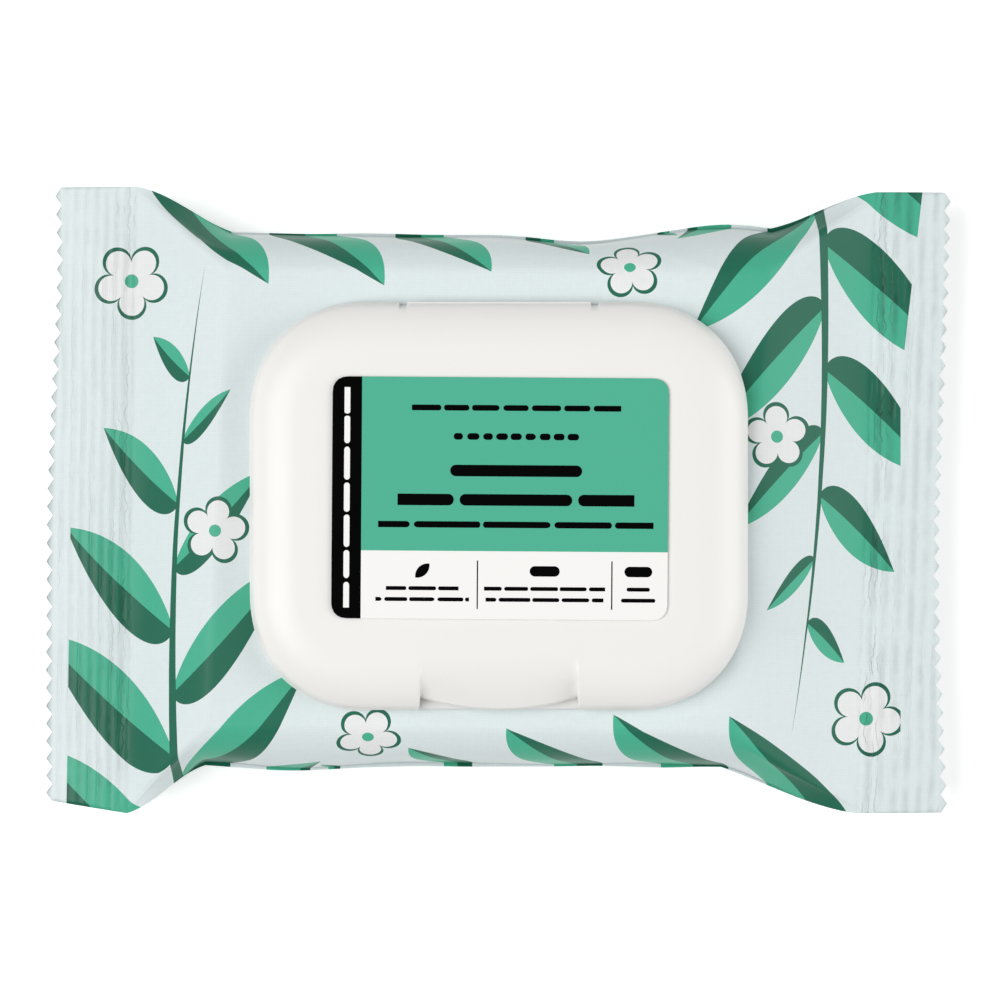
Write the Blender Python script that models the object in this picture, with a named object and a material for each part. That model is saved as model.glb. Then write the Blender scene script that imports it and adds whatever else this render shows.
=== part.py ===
"""A pack of wet wipes: a crimped flow-wrapped film bag with a hinged plastic lid bonded to its top.

The bag lies on its back. +X runs along the bag, +Y points to the lid's hinge, and +Z is up.
The origin is on the ground under the middle of the bag. All sizes are in metres.
"""

import math

import bmesh
import bpy

# The film bag, as one sealed piece with the wipes inside it.
BAG_LENGTH = 0.168  # over the tooth tips of both end seals
FILM_WIDTH = 0.115  # of the film tube laid flat, which is the height of an end seal
BAG_THICKNESS = 0.023  # over the stack of folded wipes
SHOULDER_RADIUS = 0.007  # where the top and back panels turn into the sides
SEAL_BAND = 0.016  # from an end seal's inner edge to its tooth tips
SEAL_THICKNESS = 0.0004  # two films welded together
SEAL_DROOP = 0.0015  # fall of the cut edge below the seal's inner edge
SEAL_SKEW = 0.0005  # each end seal sits this far off the middle, to opposite sides
# How much further right each seal's inner edge lies at the back than at the front.
LEFT_SEAL_LEAN = 0.0017
RIGHT_SEAL_LEAN = 0.0037
TOOTH_COUNT = 34
TOOTH_DEPTH = 0.0012
CRIMP_RIDGES = 8  # pressed across each seal, parallel to the cut edge
CRIMP_HEIGHT = 0.0002
# Length along the bag over which each corner folds down from the stack to the end seal.
GUSSET_LEFT_BACK = 0.0180
GUSSET_LEFT_FRONT = 0.0145
GUSSET_RIGHT_BACK = 0.0195
GUSSET_RIGHT_FRONT = 0.0250
GUSSET_EASE = 1.3  # over 1 rounds the film where it leaves the stack
SEAL_EASE = 0.6  # 1 brings the film in level at the seal, and 0 leaves it straight
CORNER_SPREAD = 2  # how late the sides open out flat on their way to the seal
SHOULDER_FACET = 0.4  # 0 leaves the shoulder round, and 1 makes the side one flat facet
FACET_FOLD = 0.35  # share of the fold-down after which the side is one flat facet
# The cut edges bow inwards a little: how far, where along the edge, and over what width.
LEFT_EDGE_BOW, LEFT_BOW_MIDDLE, LEFT_BOW_WIDTH = 0.0020, 0.045, 0.030
RIGHT_EDGE_BOW, RIGHT_BOW_MIDDLE, RIGHT_BOW_WIDTH = 0.0023, -0.012, 0.045
# The left seal's front corner spreads at the seal's inner edge and draws in towards the cut edge.
LEFT_FLARE = 0.0010
LEFT_PINCH = 0.0022
FLARE_POWER = 4  # how fast both die out along the seal
# Slack film at the sides: a dent beside a puffed fold at the back, and a slighter puff at the front.
DENT_X, DENT_WIDTH, DENT_DEPTH = 0.0150, 0.0100, 0.0012
PUFF_X, PUFF_WIDTH, PUFF_HEIGHT = 0.0420, 0.0125, 0.0021
FRONT_PUFF_X, FRONT_PUFF_WIDTH, FRONT_PUFF_HEIGHT = -0.0380, 0.0130, 0.0012
# Soft folds in the film between each end seal and the stack.
FLUTES = 4.5  # across the bag
FLUTE_UNEVEN = 0.8
FLUTE_HEIGHT = 0.0007
# The back seam: a fin of film folded flat against the back panel.
FIN_WIDTH = 0.011
FIN_STEP = 0.0004
FIN_RAMP = 0.0045  # over which the panel comes back to the level of the fin
# Facets of the bag.
PANEL_COLUMNS = 22
SIDE_COLUMNS = 8
GUSSET_ROWS = 7
BODY_ROWS = 11

# The lid and its frame.
GAP = 0.0003  # left between pieces that touch
LID_LENGTH = 0.0910
LID_WIDTH = 0.0745
LID_HEIGHT = 0.0080  # from the frame's underside to the lid's top
LID_MIDDLE_Y = -0.0011
LID_CORNER = 0.0217
LID_WALL = 0.0012
CORNER_POWER = 2.2  # 2 gives a round corner, and more fills it out
ROLL_WIDTH = 0.0090  # of the rolled edge, seen from above
SKIRT_TOP = 0.0022  # where the roll starts, above the frame's underside
SKIRT_DRAFT = 0.0003
FLANGE_THICKNESS = 0.0012
FLANGE_INSET = 0.0002
OPENING_LENGTH = 0.0580
OPENING_WIDTH = 0.0380
OPENING_CORNER = 0.0160
COLLAR_WALL = 0.0012
COLLAR_HEIGHT = 0.0050  # above the frame's underside
SEALING_RIB_WALL = 0.0010
SEALING_RIB_REACH = 0.0034  # how far the lid's rib hangs below its underside
# The living hinge at the back edge.
HINGE_HALF_LENGTH = 0.0167
HINGE_HEIGHT = 0.0024
HINGE_WALL = 0.0012
HINGE_SETBACK = 0.0001  # of the lid from the frame's hinge wall
HINGE_NOTCH_WIDTH = 0.0014
HINGE_NOTCH_DEPTH = 0.00055
# The thumb tab at the front edge.
TAB_HALF_LENGTH = 0.0145
TAB_DEPTH = 0.0100  # of the scoop above it, from the front edge
TAB_TOP = 0.0034
TAB_WALL = 0.0011
TAB_BOW = 0.0023  # its corners stand this far behind its middle
SCOOP_START_SLOPE = 0.25
LATCH_HALF_LENGTH = 0.0070
LATCH_WALL = 0.0010
LATCH_SETBACK = 0.0026  # from the front edge to the frame's latch post
LATCH_HEIGHT = 0.0040
CORNER_STEPS = 14

# The printed label on the lid.
LABEL_LENGTH = 0.0610
LABEL_WIDTH = 0.0439
LABEL_MIDDLE_X = 0.0002
LABEL_MIDDLE_Y = 0.0003
LABEL_TURN = -0.4  # degrees by which it was stuck on askew
LABEL_CORNER = 0.0028
LABEL_THICKNESS = 0.00015

# The peel-off seal over the dispensing hole, inside the frame.
SEAL_PATCH_LENGTH = 0.0500
SEAL_PATCH_WIDTH = 0.0290
SEAL_PATCH_CORNER = 0.0135
SEAL_PATCH_THICKNESS = 0.00025
PULL_TAB_HALF_LENGTH = 0.0060
PULL_TAB_REACH = 0.0032

# What follows from the sizes above.
HALF_FILM = FILM_WIDTH / 2
SEAL_INNER_X = BAG_LENGTH / 2 - SEAL_BAND
RISE = (BAG_THICKNESS - SEAL_THICKNESS) / 2
SHOULDER_FILM = SHOULDER_RADIUS * math.pi / 2
SIDE_FILM = SHOULDER_FILM + RISE - SHOULDER_RADIUS
PANEL_HALF = HALF_FILM - SIDE_FILM
FRAME_BASE = BAG_THICKNESS + GAP
LID_BACK_Y = LID_MIDDLE_Y + LID_WIDTH / 2
LID_FRONT_Y = LID_MIDDLE_Y - LID_WIDTH / 2
LID_TOP = FRAME_BASE + LID_HEIGHT
HINGE_AXIS_Y = LID_BACK_Y
HINGE_AXIS_Z = FRAME_BASE + HINGE_HEIGHT + GAP / 2
OVERLAP = 0.0005  # how far pieces of one moulding run into each other before they are joined
BEYOND = 0.0100  # how far a cutter runs past what it cuts


def clear_scene():
    for thing in list(bpy.data.objects):
        bpy.data.objects.remove(thing, do_unlink=True)


def plastic(name, colour, roughness):
    made = bpy.data.materials.new(name)
    made.use_nodes = True
    shader = made.node_tree.nodes["Principled BSDF"]
    shader.inputs["Base Color"].default_value = (*colour, 1.0)
    shader.inputs["Roughness"].default_value = roughness
    shader.inputs["Metallic"].default_value = 0.0
    made.diffuse_color = (*colour, 1.0)
    return made


def add_object(name, mesh, material=None):
    thing = bpy.data.objects.new(name, mesh)
    bpy.context.scene.collection.objects.link(thing)
    if material:
        mesh.materials.append(material)
    return thing


def finish_mesh(name, bm, sharp_degrees=35):
    bmesh.ops.recalc_face_normals(bm, faces=bm.faces)
    mesh = bpy.data.meshes.new(name)
    bm.to_mesh(mesh)
    bm.free()
    mesh.shade_smooth()
    mesh.set_sharp_from_angle(angle=math.radians(sharp_degrees))
    return mesh


def helper(thing):
    """Keeps an operand of a Boolean out of the model."""
    thing.hide_render = True
    thing.display_type = "WIRE"
    return thing


def boolean(target, operation, other):
    step = target.modifiers.new(f"{operation.lower()} {other.name}", "BOOLEAN")
    step.operation = operation
    step.solver = "EXACT"
    step.object = helper(other)


# Outlines seen from above


def plan(length, width, corner, middle_y=LID_MIDDLE_Y, steps=CORNER_STEPS):
    """An oblong with filled-out round corners, as (x, y) points, anticlockwise."""
    points = []
    for quarter in range(4):
        across = 1 if quarter in (0, 3) else -1
        along = 1 if quarter in (0, 1) else -1
        for step in range(steps + 1):
            angle = math.pi / 2 * (quarter + step / steps)
            x = abs(math.cos(angle)) ** (2 / CORNER_POWER)
            y = abs(math.sin(angle)) ** (2 / CORNER_POWER)
            points.append(
                (
                    across * (length / 2 - corner + corner * x),
                    middle_y + along * (width / 2 - corner + corner * y),
                )
            )
    return points


def lid_plan(inset):
    return plan(LID_LENGTH - 2 * inset, LID_WIDTH - 2 * inset, LID_CORNER - inset)


def collar_plan(outset):
    return plan(
        OPENING_LENGTH + 2 * outset, OPENING_WIDTH + 2 * outset, OPENING_CORNER + outset
    )


# Solids made from outlines


def loft(name, rings, material=None):
    """A closed solid through rings of (outline, height), each with as many points."""
    bm = bmesh.new()
    rows = [[bm.verts.new((x, y, z)) for x, y in outline] for outline, z in rings]
    for lower, upper in zip(rows, rows[1:]):
        for i in range(len(lower)):
            j = (i + 1) % len(lower)
            bm.faces.new((lower[i], lower[j], upper[j], upper[i]))
    bm.faces.new(rows[0])
    bm.faces.new(rows[-1])
    return add_object(name, finish_mesh(name, bm), material)


def plate(name, outline, low, high, material=None):
    return loft(name, [(outline, low), (outline, high)], material)


def block(name, x, y, z):
    """A box from low to high along each axis."""
    outline = [(x[0], y[0]), (x[1], y[0]), (x[1], y[1]), (x[0], y[1])]
    return plate(name, outline, *z)


def extrude_profile(name, profile, half_length):
    """A (y, z) profile run along X, from -half_length to half_length."""
    bm = bmesh.new()
    ends = [
        [bm.verts.new((x, y, z)) for y, z in profile]
        for x in (-half_length, half_length)
    ]
    for i in range(len(profile)):
        j = (i + 1) % len(profile)
        bm.faces.new((ends[0][i], ends[0][j], ends[1][j], ends[1][i]))
    bm.faces.new(ends[0])
    bm.faces.new(ends[1])
    return add_object(name, finish_mesh(name, bm))


# The film bag


def gusset_length(end, s):
    """Length along the bag of the fold-down from stack to seal, at film coordinate s."""
    if end > 0:
        front, back = GUSSET_RIGHT_FRONT, GUSSET_RIGHT_BACK
    else:
        front, back = GUSSET_LEFT_FRONT, GUSSET_LEFT_BACK
    return front + (back - front) * (s + HALF_FILM) / FILM_WIDTH


def seal_inner_x(end, s):
    """Where the bag meets an end seal, at film coordinate s."""
    lean = RIGHT_SEAL_LEAN if end > 0 else LEFT_SEAL_LEAN
    return end * SEAL_INNER_X + lean * s / FILM_WIDTH


def left_front_corner(end, s):
    """1 at the left seal's front corner, dying out along the seal, and 0 on the rest of the bag."""
    return (s / HALF_FILM) ** FLARE_POWER if end < 0 and s < 0 else 0.0


def bump(x, middle, width):
    return math.exp(-(((x - middle) / width) ** 2))


def side_slack(x, s):
    """How far the film's side stands out of its even line."""
    if s < 0:
        return FRONT_PUFF_HEIGHT * bump(x, FRONT_PUFF_X, FRONT_PUFF_WIDTH)
    return PUFF_HEIGHT * bump(x, PUFF_X, PUFF_WIDTH) - DENT_DEPTH * bump(x, DENT_X, DENT_WIDTH)


def flutes(end, s, fold):
    """Soft folds that fan from an end seal and die out towards the stack."""
    swell = math.sin(math.pi * fold) * fold
    wave = math.sin(2 * math.pi * (FLUTES + end * FLUTE_UNEVEN * s / HALF_FILM) * s / FILM_WIDTH + end)
    return FLUTE_HEIGHT * swell * wave


def side_section(share, fold):
    """Where the film is, share of the way from a panel's edge to the side fold: (out, down).

    The round shoulder turns into a flat facet on its way to an end seal.
    """
    film = share * SIDE_FILM
    if film < SHOULDER_FILM:
        turn = film / SHOULDER_RADIUS
        out = SHOULDER_RADIUS * math.sin(turn)
        down = SHOULDER_RADIUS * (1 - math.cos(turn))
    else:
        out = SHOULDER_RADIUS
        down = SHOULDER_RADIUS + film - SHOULDER_FILM
    facet = SHOULDER_FACET + (1 - SHOULDER_FACET) * min(1.0, fold / FACET_FOLD)
    out += (SHOULDER_RADIUS * share - out) * facet
    down += (RISE * share - down) * facet
    return out, down


def panel_stand(fold):
    """How high a panel stands off the seal's level, from 1 over the stack to 0 at the seal."""
    drop = fold**GUSSET_EASE
    return 1 - drop - SEAL_EASE * (drop - drop**3) / 2


def crease_at(fold):
    """Film coordinate of the fold between panel and side. It runs out to the seal's corner."""
    return PANEL_HALF + (HALF_FILM - PANEL_HALF) * fold


def bag_point(x, s, up, end, fold):
    """A point of the bag's skin between the end seals.

    s is the film's own coordinate across the bag, from one side fold to the other, and up is
    1 on the top panel and -1 on the back. fold is 0 over the stack, where the section is an
    oblong with round shoulders, and 1 at an end seal, where the film lies flat.
    """
    crease = crease_at(fold)
    stand = panel_stand(fold)
    flat = fold**CORNER_SPREAD
    y, height = abs(s), RISE * stand
    if y > crease:
        share = (y - crease) / (HALF_FILM - crease)
        out, down = side_section(share, fold)
        y = crease + (y - crease) * flat + out * (1 - fold) * (1 - flat) + side_slack(x, s) * share
        height -= down * stand
    else:
        height += flutes(end, s, fold)
    y += LEFT_FLARE * left_front_corner(end, s) * flat
    skew = -SEAL_SKEW * x / SEAL_INNER_X
    z = BAG_THICKNESS / 2 + up * (SEAL_THICKNESS / 2 + height)
    return x, math.copysign(y, s) + skew, z


def tooth_tip_x(end, s):
    if end < 0:
        return LEFT_EDGE_BOW * bump(s, LEFT_BOW_MIDDLE, LEFT_BOW_WIDTH) - BAG_LENGTH / 2
    return BAG_LENGTH / 2 - RIGHT_EDGE_BOW * bump(s, RIGHT_BOW_MIDDLE, RIGHT_BOW_WIDTH)


def seal_point(end, share, s, up, ridge=0.0):
    """A point of an end seal. share runs from 0 at its inner edge to 1 at the tooth roots."""
    root = tooth_tip_x(end, s) - end * TOOTH_DEPTH
    inner = seal_inner_x(end, s)
    x = inner + (root - inner) * share
    z = BAG_THICKNESS / 2 - SEAL_DROOP * share**2 + up * SEAL_THICKNESS / 2
    spread = (LEFT_FLARE - LEFT_PINCH * share) * left_front_corner(end, s)
    return x, s - end * SEAL_SKEW - spread, z + ridge


def body_columns(up, fold):
    """(film coordinate, step in height) of each column of a row. The back has the fin's edge."""
    crease = crease_at(fold)
    panel = [(crease * (2 * i / PANEL_COLUMNS - 1), 0.0) for i in range(PANEL_COLUMNS + 1)]
    if up < 0:
        step = FIN_STEP * (1 - fold)
        edge = [(FIN_WIDTH, 0.0), (FIN_WIDTH + FIN_STEP / 2, step), (FIN_WIDTH + FIN_RAMP, 0.0)]
        beside = [c for c in panel if not FIN_WIDTH - FIN_STEP < c[0] < FIN_WIDTH + FIN_RAMP + FIN_STEP]
        panel = sorted(beside + edge)
    width = (HALF_FILM - crease) / SIDE_COLUMNS
    side = [(crease + width * (i + 1), 0.0) for i in range(SIDE_COLUMNS)]
    return [(-s, step) for s, step in side[::-1]] + panel + side


def body_row(bm, end, fold, share):
    """One row across the bag: fold of the way down to an end seal, or share of the way along
    the stack. Each panel is a list of (s, vertex)."""
    row = {}
    for up in (1, -1):
        row[up] = []
        for s, step in body_columns(up, fold):
            left = seal_inner_x(-1, s) + gusset_length(-1, s) * (1 - fold)
            right = seal_inner_x(1, s) - gusset_length(1, s) * (1 - fold)
            x = left + (right - left) * share
            px, py, pz = bag_point(x, s, up, end, fold)
            row[up].append((s, bm.verts.new((px, py, pz + step))))
    return row


def body_rows(bm):
    left = [body_row(bm, -1, 1 - i / GUSSET_ROWS, 0.0) for i in range(1, GUSSET_ROWS)]
    middle = [body_row(bm, 0, 0.0, i / BODY_ROWS) for i in range(BODY_ROWS + 1)]
    right = [body_row(bm, 1, i / GUSSET_ROWS, 1.0) for i in range(1, GUSSET_ROWS)]
    return left + middle + right


def join_rows(bm, first, second):
    """Faces between two rows of (s, vertex), which may hold different numbers of vertices."""
    if len(first) == len(second):
        for (_, a), (_, b), (_, c), (_, d) in zip(first, first[1:], second[1:], second):
            bm.faces.new((a, b, c, d))
        return
    i = j = 0
    while i < len(first) - 1 or j < len(second) - 1:
        a, b = first[i][1], second[j][1]
        next_a = first[i + 1][0] if i < len(first) - 1 else math.inf
        next_b = second[j + 1][0] if j < len(second) - 1 else math.inf
        if next_a < next_b:
            bm.faces.new((a, first[i + 1][1], b))
            i += 1
        else:
            bm.faces.new((a, second[j + 1][1], b))
            j += 1


def seal_rows(bm, end):
    """Rows of an end seal for both faces, from its inner edge to the tooth roots."""
    columns = [HALF_FILM * (2 * i / TOOTH_COUNT - 1) for i in range(TOOTH_COUNT + 1)]
    rows = []
    count = 2 * CRIMP_RIDGES
    for row in range(count + 1):
        ridge = 0.0 if row in (0, count) else CRIMP_HEIGHT * (1 if row % 2 else -1)
        rows.append(
            {
                up: [(s, bm.verts.new(seal_point(end, row / count, s, up, ridge))) for s in columns]
                for up in (1, -1)
            }
        )
    return rows


def cut_teeth(bm, end, root):
    """The zigzag cut: one triangular tooth on each column between two tooth roots."""
    tips = {}
    for up in (1, -1):
        tips[up] = []
        for (s0, _), (s1, _) in zip(root[up], root[up][1:]):
            s = (s0 + s1) / 2
            _, y, z = seal_point(end, 1.0, s, up)
            tips[up].append(bm.verts.new((tooth_tip_x(end, s), y, z)))
    for i in range(TOOTH_COUNT):
        roots = {up: (root[up][i][1], root[up][i + 1][1]) for up in (1, -1)}
        for up in (1, -1):
            bm.faces.new((roots[up][0], tips[up][i], roots[up][1]))
        for side in (0, 1):
            bm.faces.new((roots[1][side], tips[1][i], tips[-1][i], roots[-1][side]))


def make_bag(material):
    bm = bmesh.new()
    rows = seal_rows(bm, -1)[::-1] + body_rows(bm) + seal_rows(bm, 1)
    for first, second in zip(rows, rows[1:]):
        for up in (1, -1):
            join_rows(bm, first[up], second[up])
        for side in (0, -1):
            bm.faces.new(
                (first[1][side][1], second[1][side][1], second[-1][side][1], first[-1][side][1])
            )
    cut_teeth(bm, -1, rows[0])
    cut_teeth(bm, 1, rows[-1])
    return add_object("film_bag", finish_mesh("film_bag", bm), material)


# The lid's frame, bonded to the film round the dispensing hole


def hinge_notches(target, low, high):
    """The two small notches at the ends of the living hinge."""
    for end in (-1, 1):
        near = end * HINGE_HALF_LENGTH
        far = end * (HINGE_HALF_LENGTH + HINGE_NOTCH_WIDTH)
        back = (LID_BACK_Y - HINGE_NOTCH_DEPTH, LID_BACK_Y + BEYOND)
        name = f"{target.name} hinge notch {'left' if end < 0 else 'right'}"
        boolean(target, "DIFFERENCE", block(name, sorted((near, far)), back, (low, high)))


def make_frame(material):
    top = FRAME_BASE + FLANGE_THICKNESS
    frame = plate("lid_frame", lid_plan(FLANGE_INSET), FRAME_BASE, top, material)
    collar = plate(
        "frame collar", collar_plan(COLLAR_WALL), FRAME_BASE + OVERLAP, FRAME_BASE + COLLAR_HEIGHT
    )
    boolean(frame, "UNION", collar)
    hinge_wall = block(
        "frame hinge wall",
        (-HINGE_HALF_LENGTH, HINGE_HALF_LENGTH),
        (LID_BACK_Y - HINGE_WALL, LID_BACK_Y),
        (FRAME_BASE + OVERLAP, FRAME_BASE + HINGE_HEIGHT),
    )
    boolean(frame, "UNION", hinge_wall)
    latch_y = LID_FRONT_Y + LATCH_SETBACK
    latch = block(
        "frame latch post",
        (-LATCH_HALF_LENGTH, LATCH_HALF_LENGTH),
        (latch_y, latch_y + LATCH_WALL),
        (FRAME_BASE + OVERLAP, FRAME_BASE + LATCH_HEIGHT),
    )
    boolean(frame, "UNION", latch)
    opening = plate("frame opening", collar_plan(0), FRAME_BASE - BEYOND, LID_TOP + BEYOND)
    boolean(frame, "DIFFERENCE", opening)
    hinge_notches(frame, FRAME_BASE - BEYOND, top + BEYOND)
    return frame


# The lid


def lid_rings(wall):
    """Rings of the lid's outer skin or, a wall further in, of the hollow inside it."""
    bottom = FRAME_BASE + FLANGE_THICKNESS + GAP
    low = bottom - (BEYOND if wall else 0)
    rings = [(lid_plan(wall), low), (lid_plan(wall + SKIRT_DRAFT), FRAME_BASE + SKIRT_TOP)]
    roll_steps = 6
    for step in range(1, roll_steps + 1):
        angle = math.pi / 2 * step / roll_steps
        inset = SKIRT_DRAFT + (ROLL_WIDTH - SKIRT_DRAFT) * (1 - math.cos(angle))
        height = SKIRT_TOP + (LID_HEIGHT - wall - SKIRT_TOP) * math.sin(angle)
        rings.append((lid_plan(wall + inset), FRAME_BASE + height))
    return rings


def scoop_profile(wall):
    """The thumb scoop's floor seen from the side, closed over the top of the lid."""
    depth = LID_HEIGHT - TAB_TOP
    steps = 10
    floor = []
    for step in range(steps + 2):
        run = step / steps
        fall = depth * (SCOOP_START_SLOPE * run + (1 - SCOOP_START_SLOPE) * run**2)
        floor.append((LID_FRONT_Y + TAB_DEPTH * (1 - run), LID_TOP - fall - wall))
    over = LID_TOP + BEYOND
    beyond_front = LID_FRONT_Y - BEYOND
    return [(floor[0][0], over)] + floor + [(beyond_front, floor[-1][1]), (beyond_front, over)]


def tab_front_cutter():
    """Trims the tab's front edge to a shallow bow, set back at its corners."""
    steps = 12
    edge = []
    for step in range(steps + 1):
        across = 2 * step / steps - 1
        edge.append((across * TAB_HALF_LENGTH, LID_FRONT_Y + TAB_BOW * across**2))
    outline = [(-TAB_HALF_LENGTH, LID_FRONT_Y - BEYOND), (TAB_HALF_LENGTH, LID_FRONT_Y - BEYOND)]
    return plate("tab front cutter", outline + edge[::-1], FRAME_BASE - BEYOND, LID_TOP + BEYOND)


def make_lid(material):
    lid = loft("lid", lid_rings(0), material)
    boolean(lid, "DIFFERENCE", extrude_profile("thumb scoop", scoop_profile(0), TAB_HALF_LENGTH))
    hollow = loft("lid hollow", lid_rings(LID_WALL))
    under_scoop = extrude_profile("scoop underside", scoop_profile(TAB_WALL), TAB_HALF_LENGTH + LID_WALL)
    boolean(hollow, "DIFFERENCE", under_scoop)
    boolean(lid, "DIFFERENCE", hollow)

    rib_top = LID_TOP - LID_WALL
    rib_out = COLLAR_WALL + GAP + SEALING_RIB_WALL
    rib = plate("sealing rib", collar_plan(rib_out), rib_top - SEALING_RIB_REACH, rib_top + OVERLAP)
    rib_hole = plate(
        "sealing rib hole", collar_plan(COLLAR_WALL + GAP), rib_top - BEYOND, rib_top + BEYOND
    )
    boolean(rib, "DIFFERENCE", rib_hole)
    boolean(lid, "UNION", rib)

    under_tab = FRAME_BASE + TAB_TOP - TAB_WALL
    skirt_cut = block(
        "skirt cut under tab",
        (-TAB_HALF_LENGTH, TAB_HALF_LENGTH),
        (LID_FRONT_Y - BEYOND, LID_FRONT_Y + LATCH_SETBACK),
        (FRAME_BASE - BEYOND, under_tab),
    )
    boolean(lid, "DIFFERENCE", skirt_cut)
    boolean(lid, "DIFFERENCE", tab_front_cutter())

    latch_y = LID_FRONT_Y + LATCH_SETBACK - GAP
    latch = block(
        "lid latch rib",
        (-LATCH_HALF_LENGTH, LATCH_HALF_LENGTH),
        (latch_y - LATCH_WALL, latch_y),
        (FRAME_BASE + FLANGE_THICKNESS + GAP, FRAME_BASE + TAB_TOP),
    )
    boolean(lid, "UNION", latch)

    hinge_cut = block(
        "lid hinge setback",
        (-HINGE_HALF_LENGTH - GAP, HINGE_HALF_LENGTH + GAP),
        (LID_BACK_Y - HINGE_SETBACK, LID_BACK_Y + BEYOND),
        (FRAME_BASE - BEYOND, LID_TOP + BEYOND),
    )
    boolean(lid, "DIFFERENCE", hinge_cut)
    over_wall = block(
        "lid over hinge wall",
        (-HINGE_HALF_LENGTH - GAP, HINGE_HALF_LENGTH + GAP),
        (LID_BACK_Y - HINGE_WALL - GAP - LID_WALL, LID_BACK_Y + BEYOND),
        (FRAME_BASE - BEYOND, FRAME_BASE + HINGE_HEIGHT + GAP),
    )
    boolean(lid, "DIFFERENCE", over_wall)
    hinge_notches(lid, FRAME_BASE - BEYOND, LID_TOP + BEYOND)
    return lid


def make_label(material):
    cosine, sine = math.cos(math.radians(LABEL_TURN)), math.sin(math.radians(LABEL_TURN))
    outline = []
    for x, y in plan(LABEL_LENGTH, LABEL_WIDTH, LABEL_CORNER, middle_y=0.0, steps=5):
        outline.append(
            (LABEL_MIDDLE_X + x * cosine - y * sine, LABEL_MIDDLE_Y + x * sine + y * cosine)
        )
    low = LID_TOP + GAP
    return plate("lid_label", outline, low, low + LABEL_THICKNESS, material)


def make_peel_seal(material):
    low = BAG_THICKNESS + GAP
    high = low + SEAL_PATCH_THICKNESS
    outline = plan(SEAL_PATCH_LENGTH, SEAL_PATCH_WIDTH, SEAL_PATCH_CORNER)
    patch = plate("peel_seal", outline, low, high, material)
    front = LID_MIDDLE_Y - SEAL_PATCH_WIDTH / 2 - PULL_TAB_REACH
    steps = 10
    tongue = [(PULL_TAB_HALF_LENGTH, LID_MIDDLE_Y), (-PULL_TAB_HALF_LENGTH, LID_MIDDLE_Y)]
    for step in range(steps + 1):
        angle = math.pi * step / steps
        tongue.append(
            (
                -PULL_TAB_HALF_LENGTH * math.cos(angle),
                front + PULL_TAB_HALF_LENGTH * (1 - math.sin(angle)),
            )
        )
    boolean(patch, "UNION", plate("pull tab", tongue, low, high))
    return patch


def hinge_parent(lid, label):
    """An empty on the hinge line carries the lid and its label."""
    hinge = bpy.data.objects.new("lid hinge", None)
    hinge.location = (0, HINGE_AXIS_Y, HINGE_AXIS_Z)
    bpy.context.scene.collection.objects.link(hinge)
    for thing in (lid, label):
        thing.parent = hinge
        thing.matrix_parent_inverse = hinge.matrix_basis.inverted()


def main():
    clear_scene()
    film = plastic("pale mint printed film", (0.70, 0.81, 0.81), 0.35)
    white = plastic("white moulded plastic", (0.86, 0.85, 0.82), 0.32)
    print_green = plastic("green label paper", (0.09, 0.43, 0.28), 0.45)
    seal_white = plastic("peel-off seal film", (0.80, 0.86, 0.86), 0.30)
    make_bag(film)
    make_frame(white)
    lid = make_lid(white)
    label = make_label(print_green)
    make_peel_seal(seal_white)
    hinge_parent(lid, label)


main()
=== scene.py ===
"""Looks of a pack of wet wipes: crinkled printed film, moulded flip-top lid, label and peel-off seal."""

import math
from functools import partialmethod

import bmesh
import bpy
import numpy as np
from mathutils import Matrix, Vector, noise


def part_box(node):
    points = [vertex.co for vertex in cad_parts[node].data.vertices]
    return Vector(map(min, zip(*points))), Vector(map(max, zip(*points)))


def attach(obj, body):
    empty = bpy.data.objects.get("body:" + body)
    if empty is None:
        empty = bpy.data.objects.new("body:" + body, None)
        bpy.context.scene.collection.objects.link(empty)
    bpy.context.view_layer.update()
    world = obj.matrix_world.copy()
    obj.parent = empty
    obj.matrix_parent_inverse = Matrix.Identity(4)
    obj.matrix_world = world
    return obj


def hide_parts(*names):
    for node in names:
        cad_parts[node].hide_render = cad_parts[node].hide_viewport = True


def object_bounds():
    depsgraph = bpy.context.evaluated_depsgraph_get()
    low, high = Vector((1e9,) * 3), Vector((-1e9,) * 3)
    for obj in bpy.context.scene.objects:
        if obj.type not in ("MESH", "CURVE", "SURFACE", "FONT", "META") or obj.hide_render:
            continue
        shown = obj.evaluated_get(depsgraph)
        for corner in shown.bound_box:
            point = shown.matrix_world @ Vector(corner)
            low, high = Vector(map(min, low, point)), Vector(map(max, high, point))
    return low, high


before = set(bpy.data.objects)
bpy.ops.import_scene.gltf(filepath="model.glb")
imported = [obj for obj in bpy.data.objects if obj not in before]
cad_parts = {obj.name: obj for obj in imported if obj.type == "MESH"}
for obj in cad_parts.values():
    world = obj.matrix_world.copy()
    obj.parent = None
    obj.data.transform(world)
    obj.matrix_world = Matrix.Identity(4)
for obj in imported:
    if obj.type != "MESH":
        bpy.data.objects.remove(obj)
cad_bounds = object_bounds()

# The film bag
# One sheet of printed polypropylene film, folded into a tube round the stack of wipes, with a fin seam on its
# back and both ends crimped flat and cut with a zigzag knife. The stack fills it tightly, and the slack film
# creases at the ends.

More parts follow.
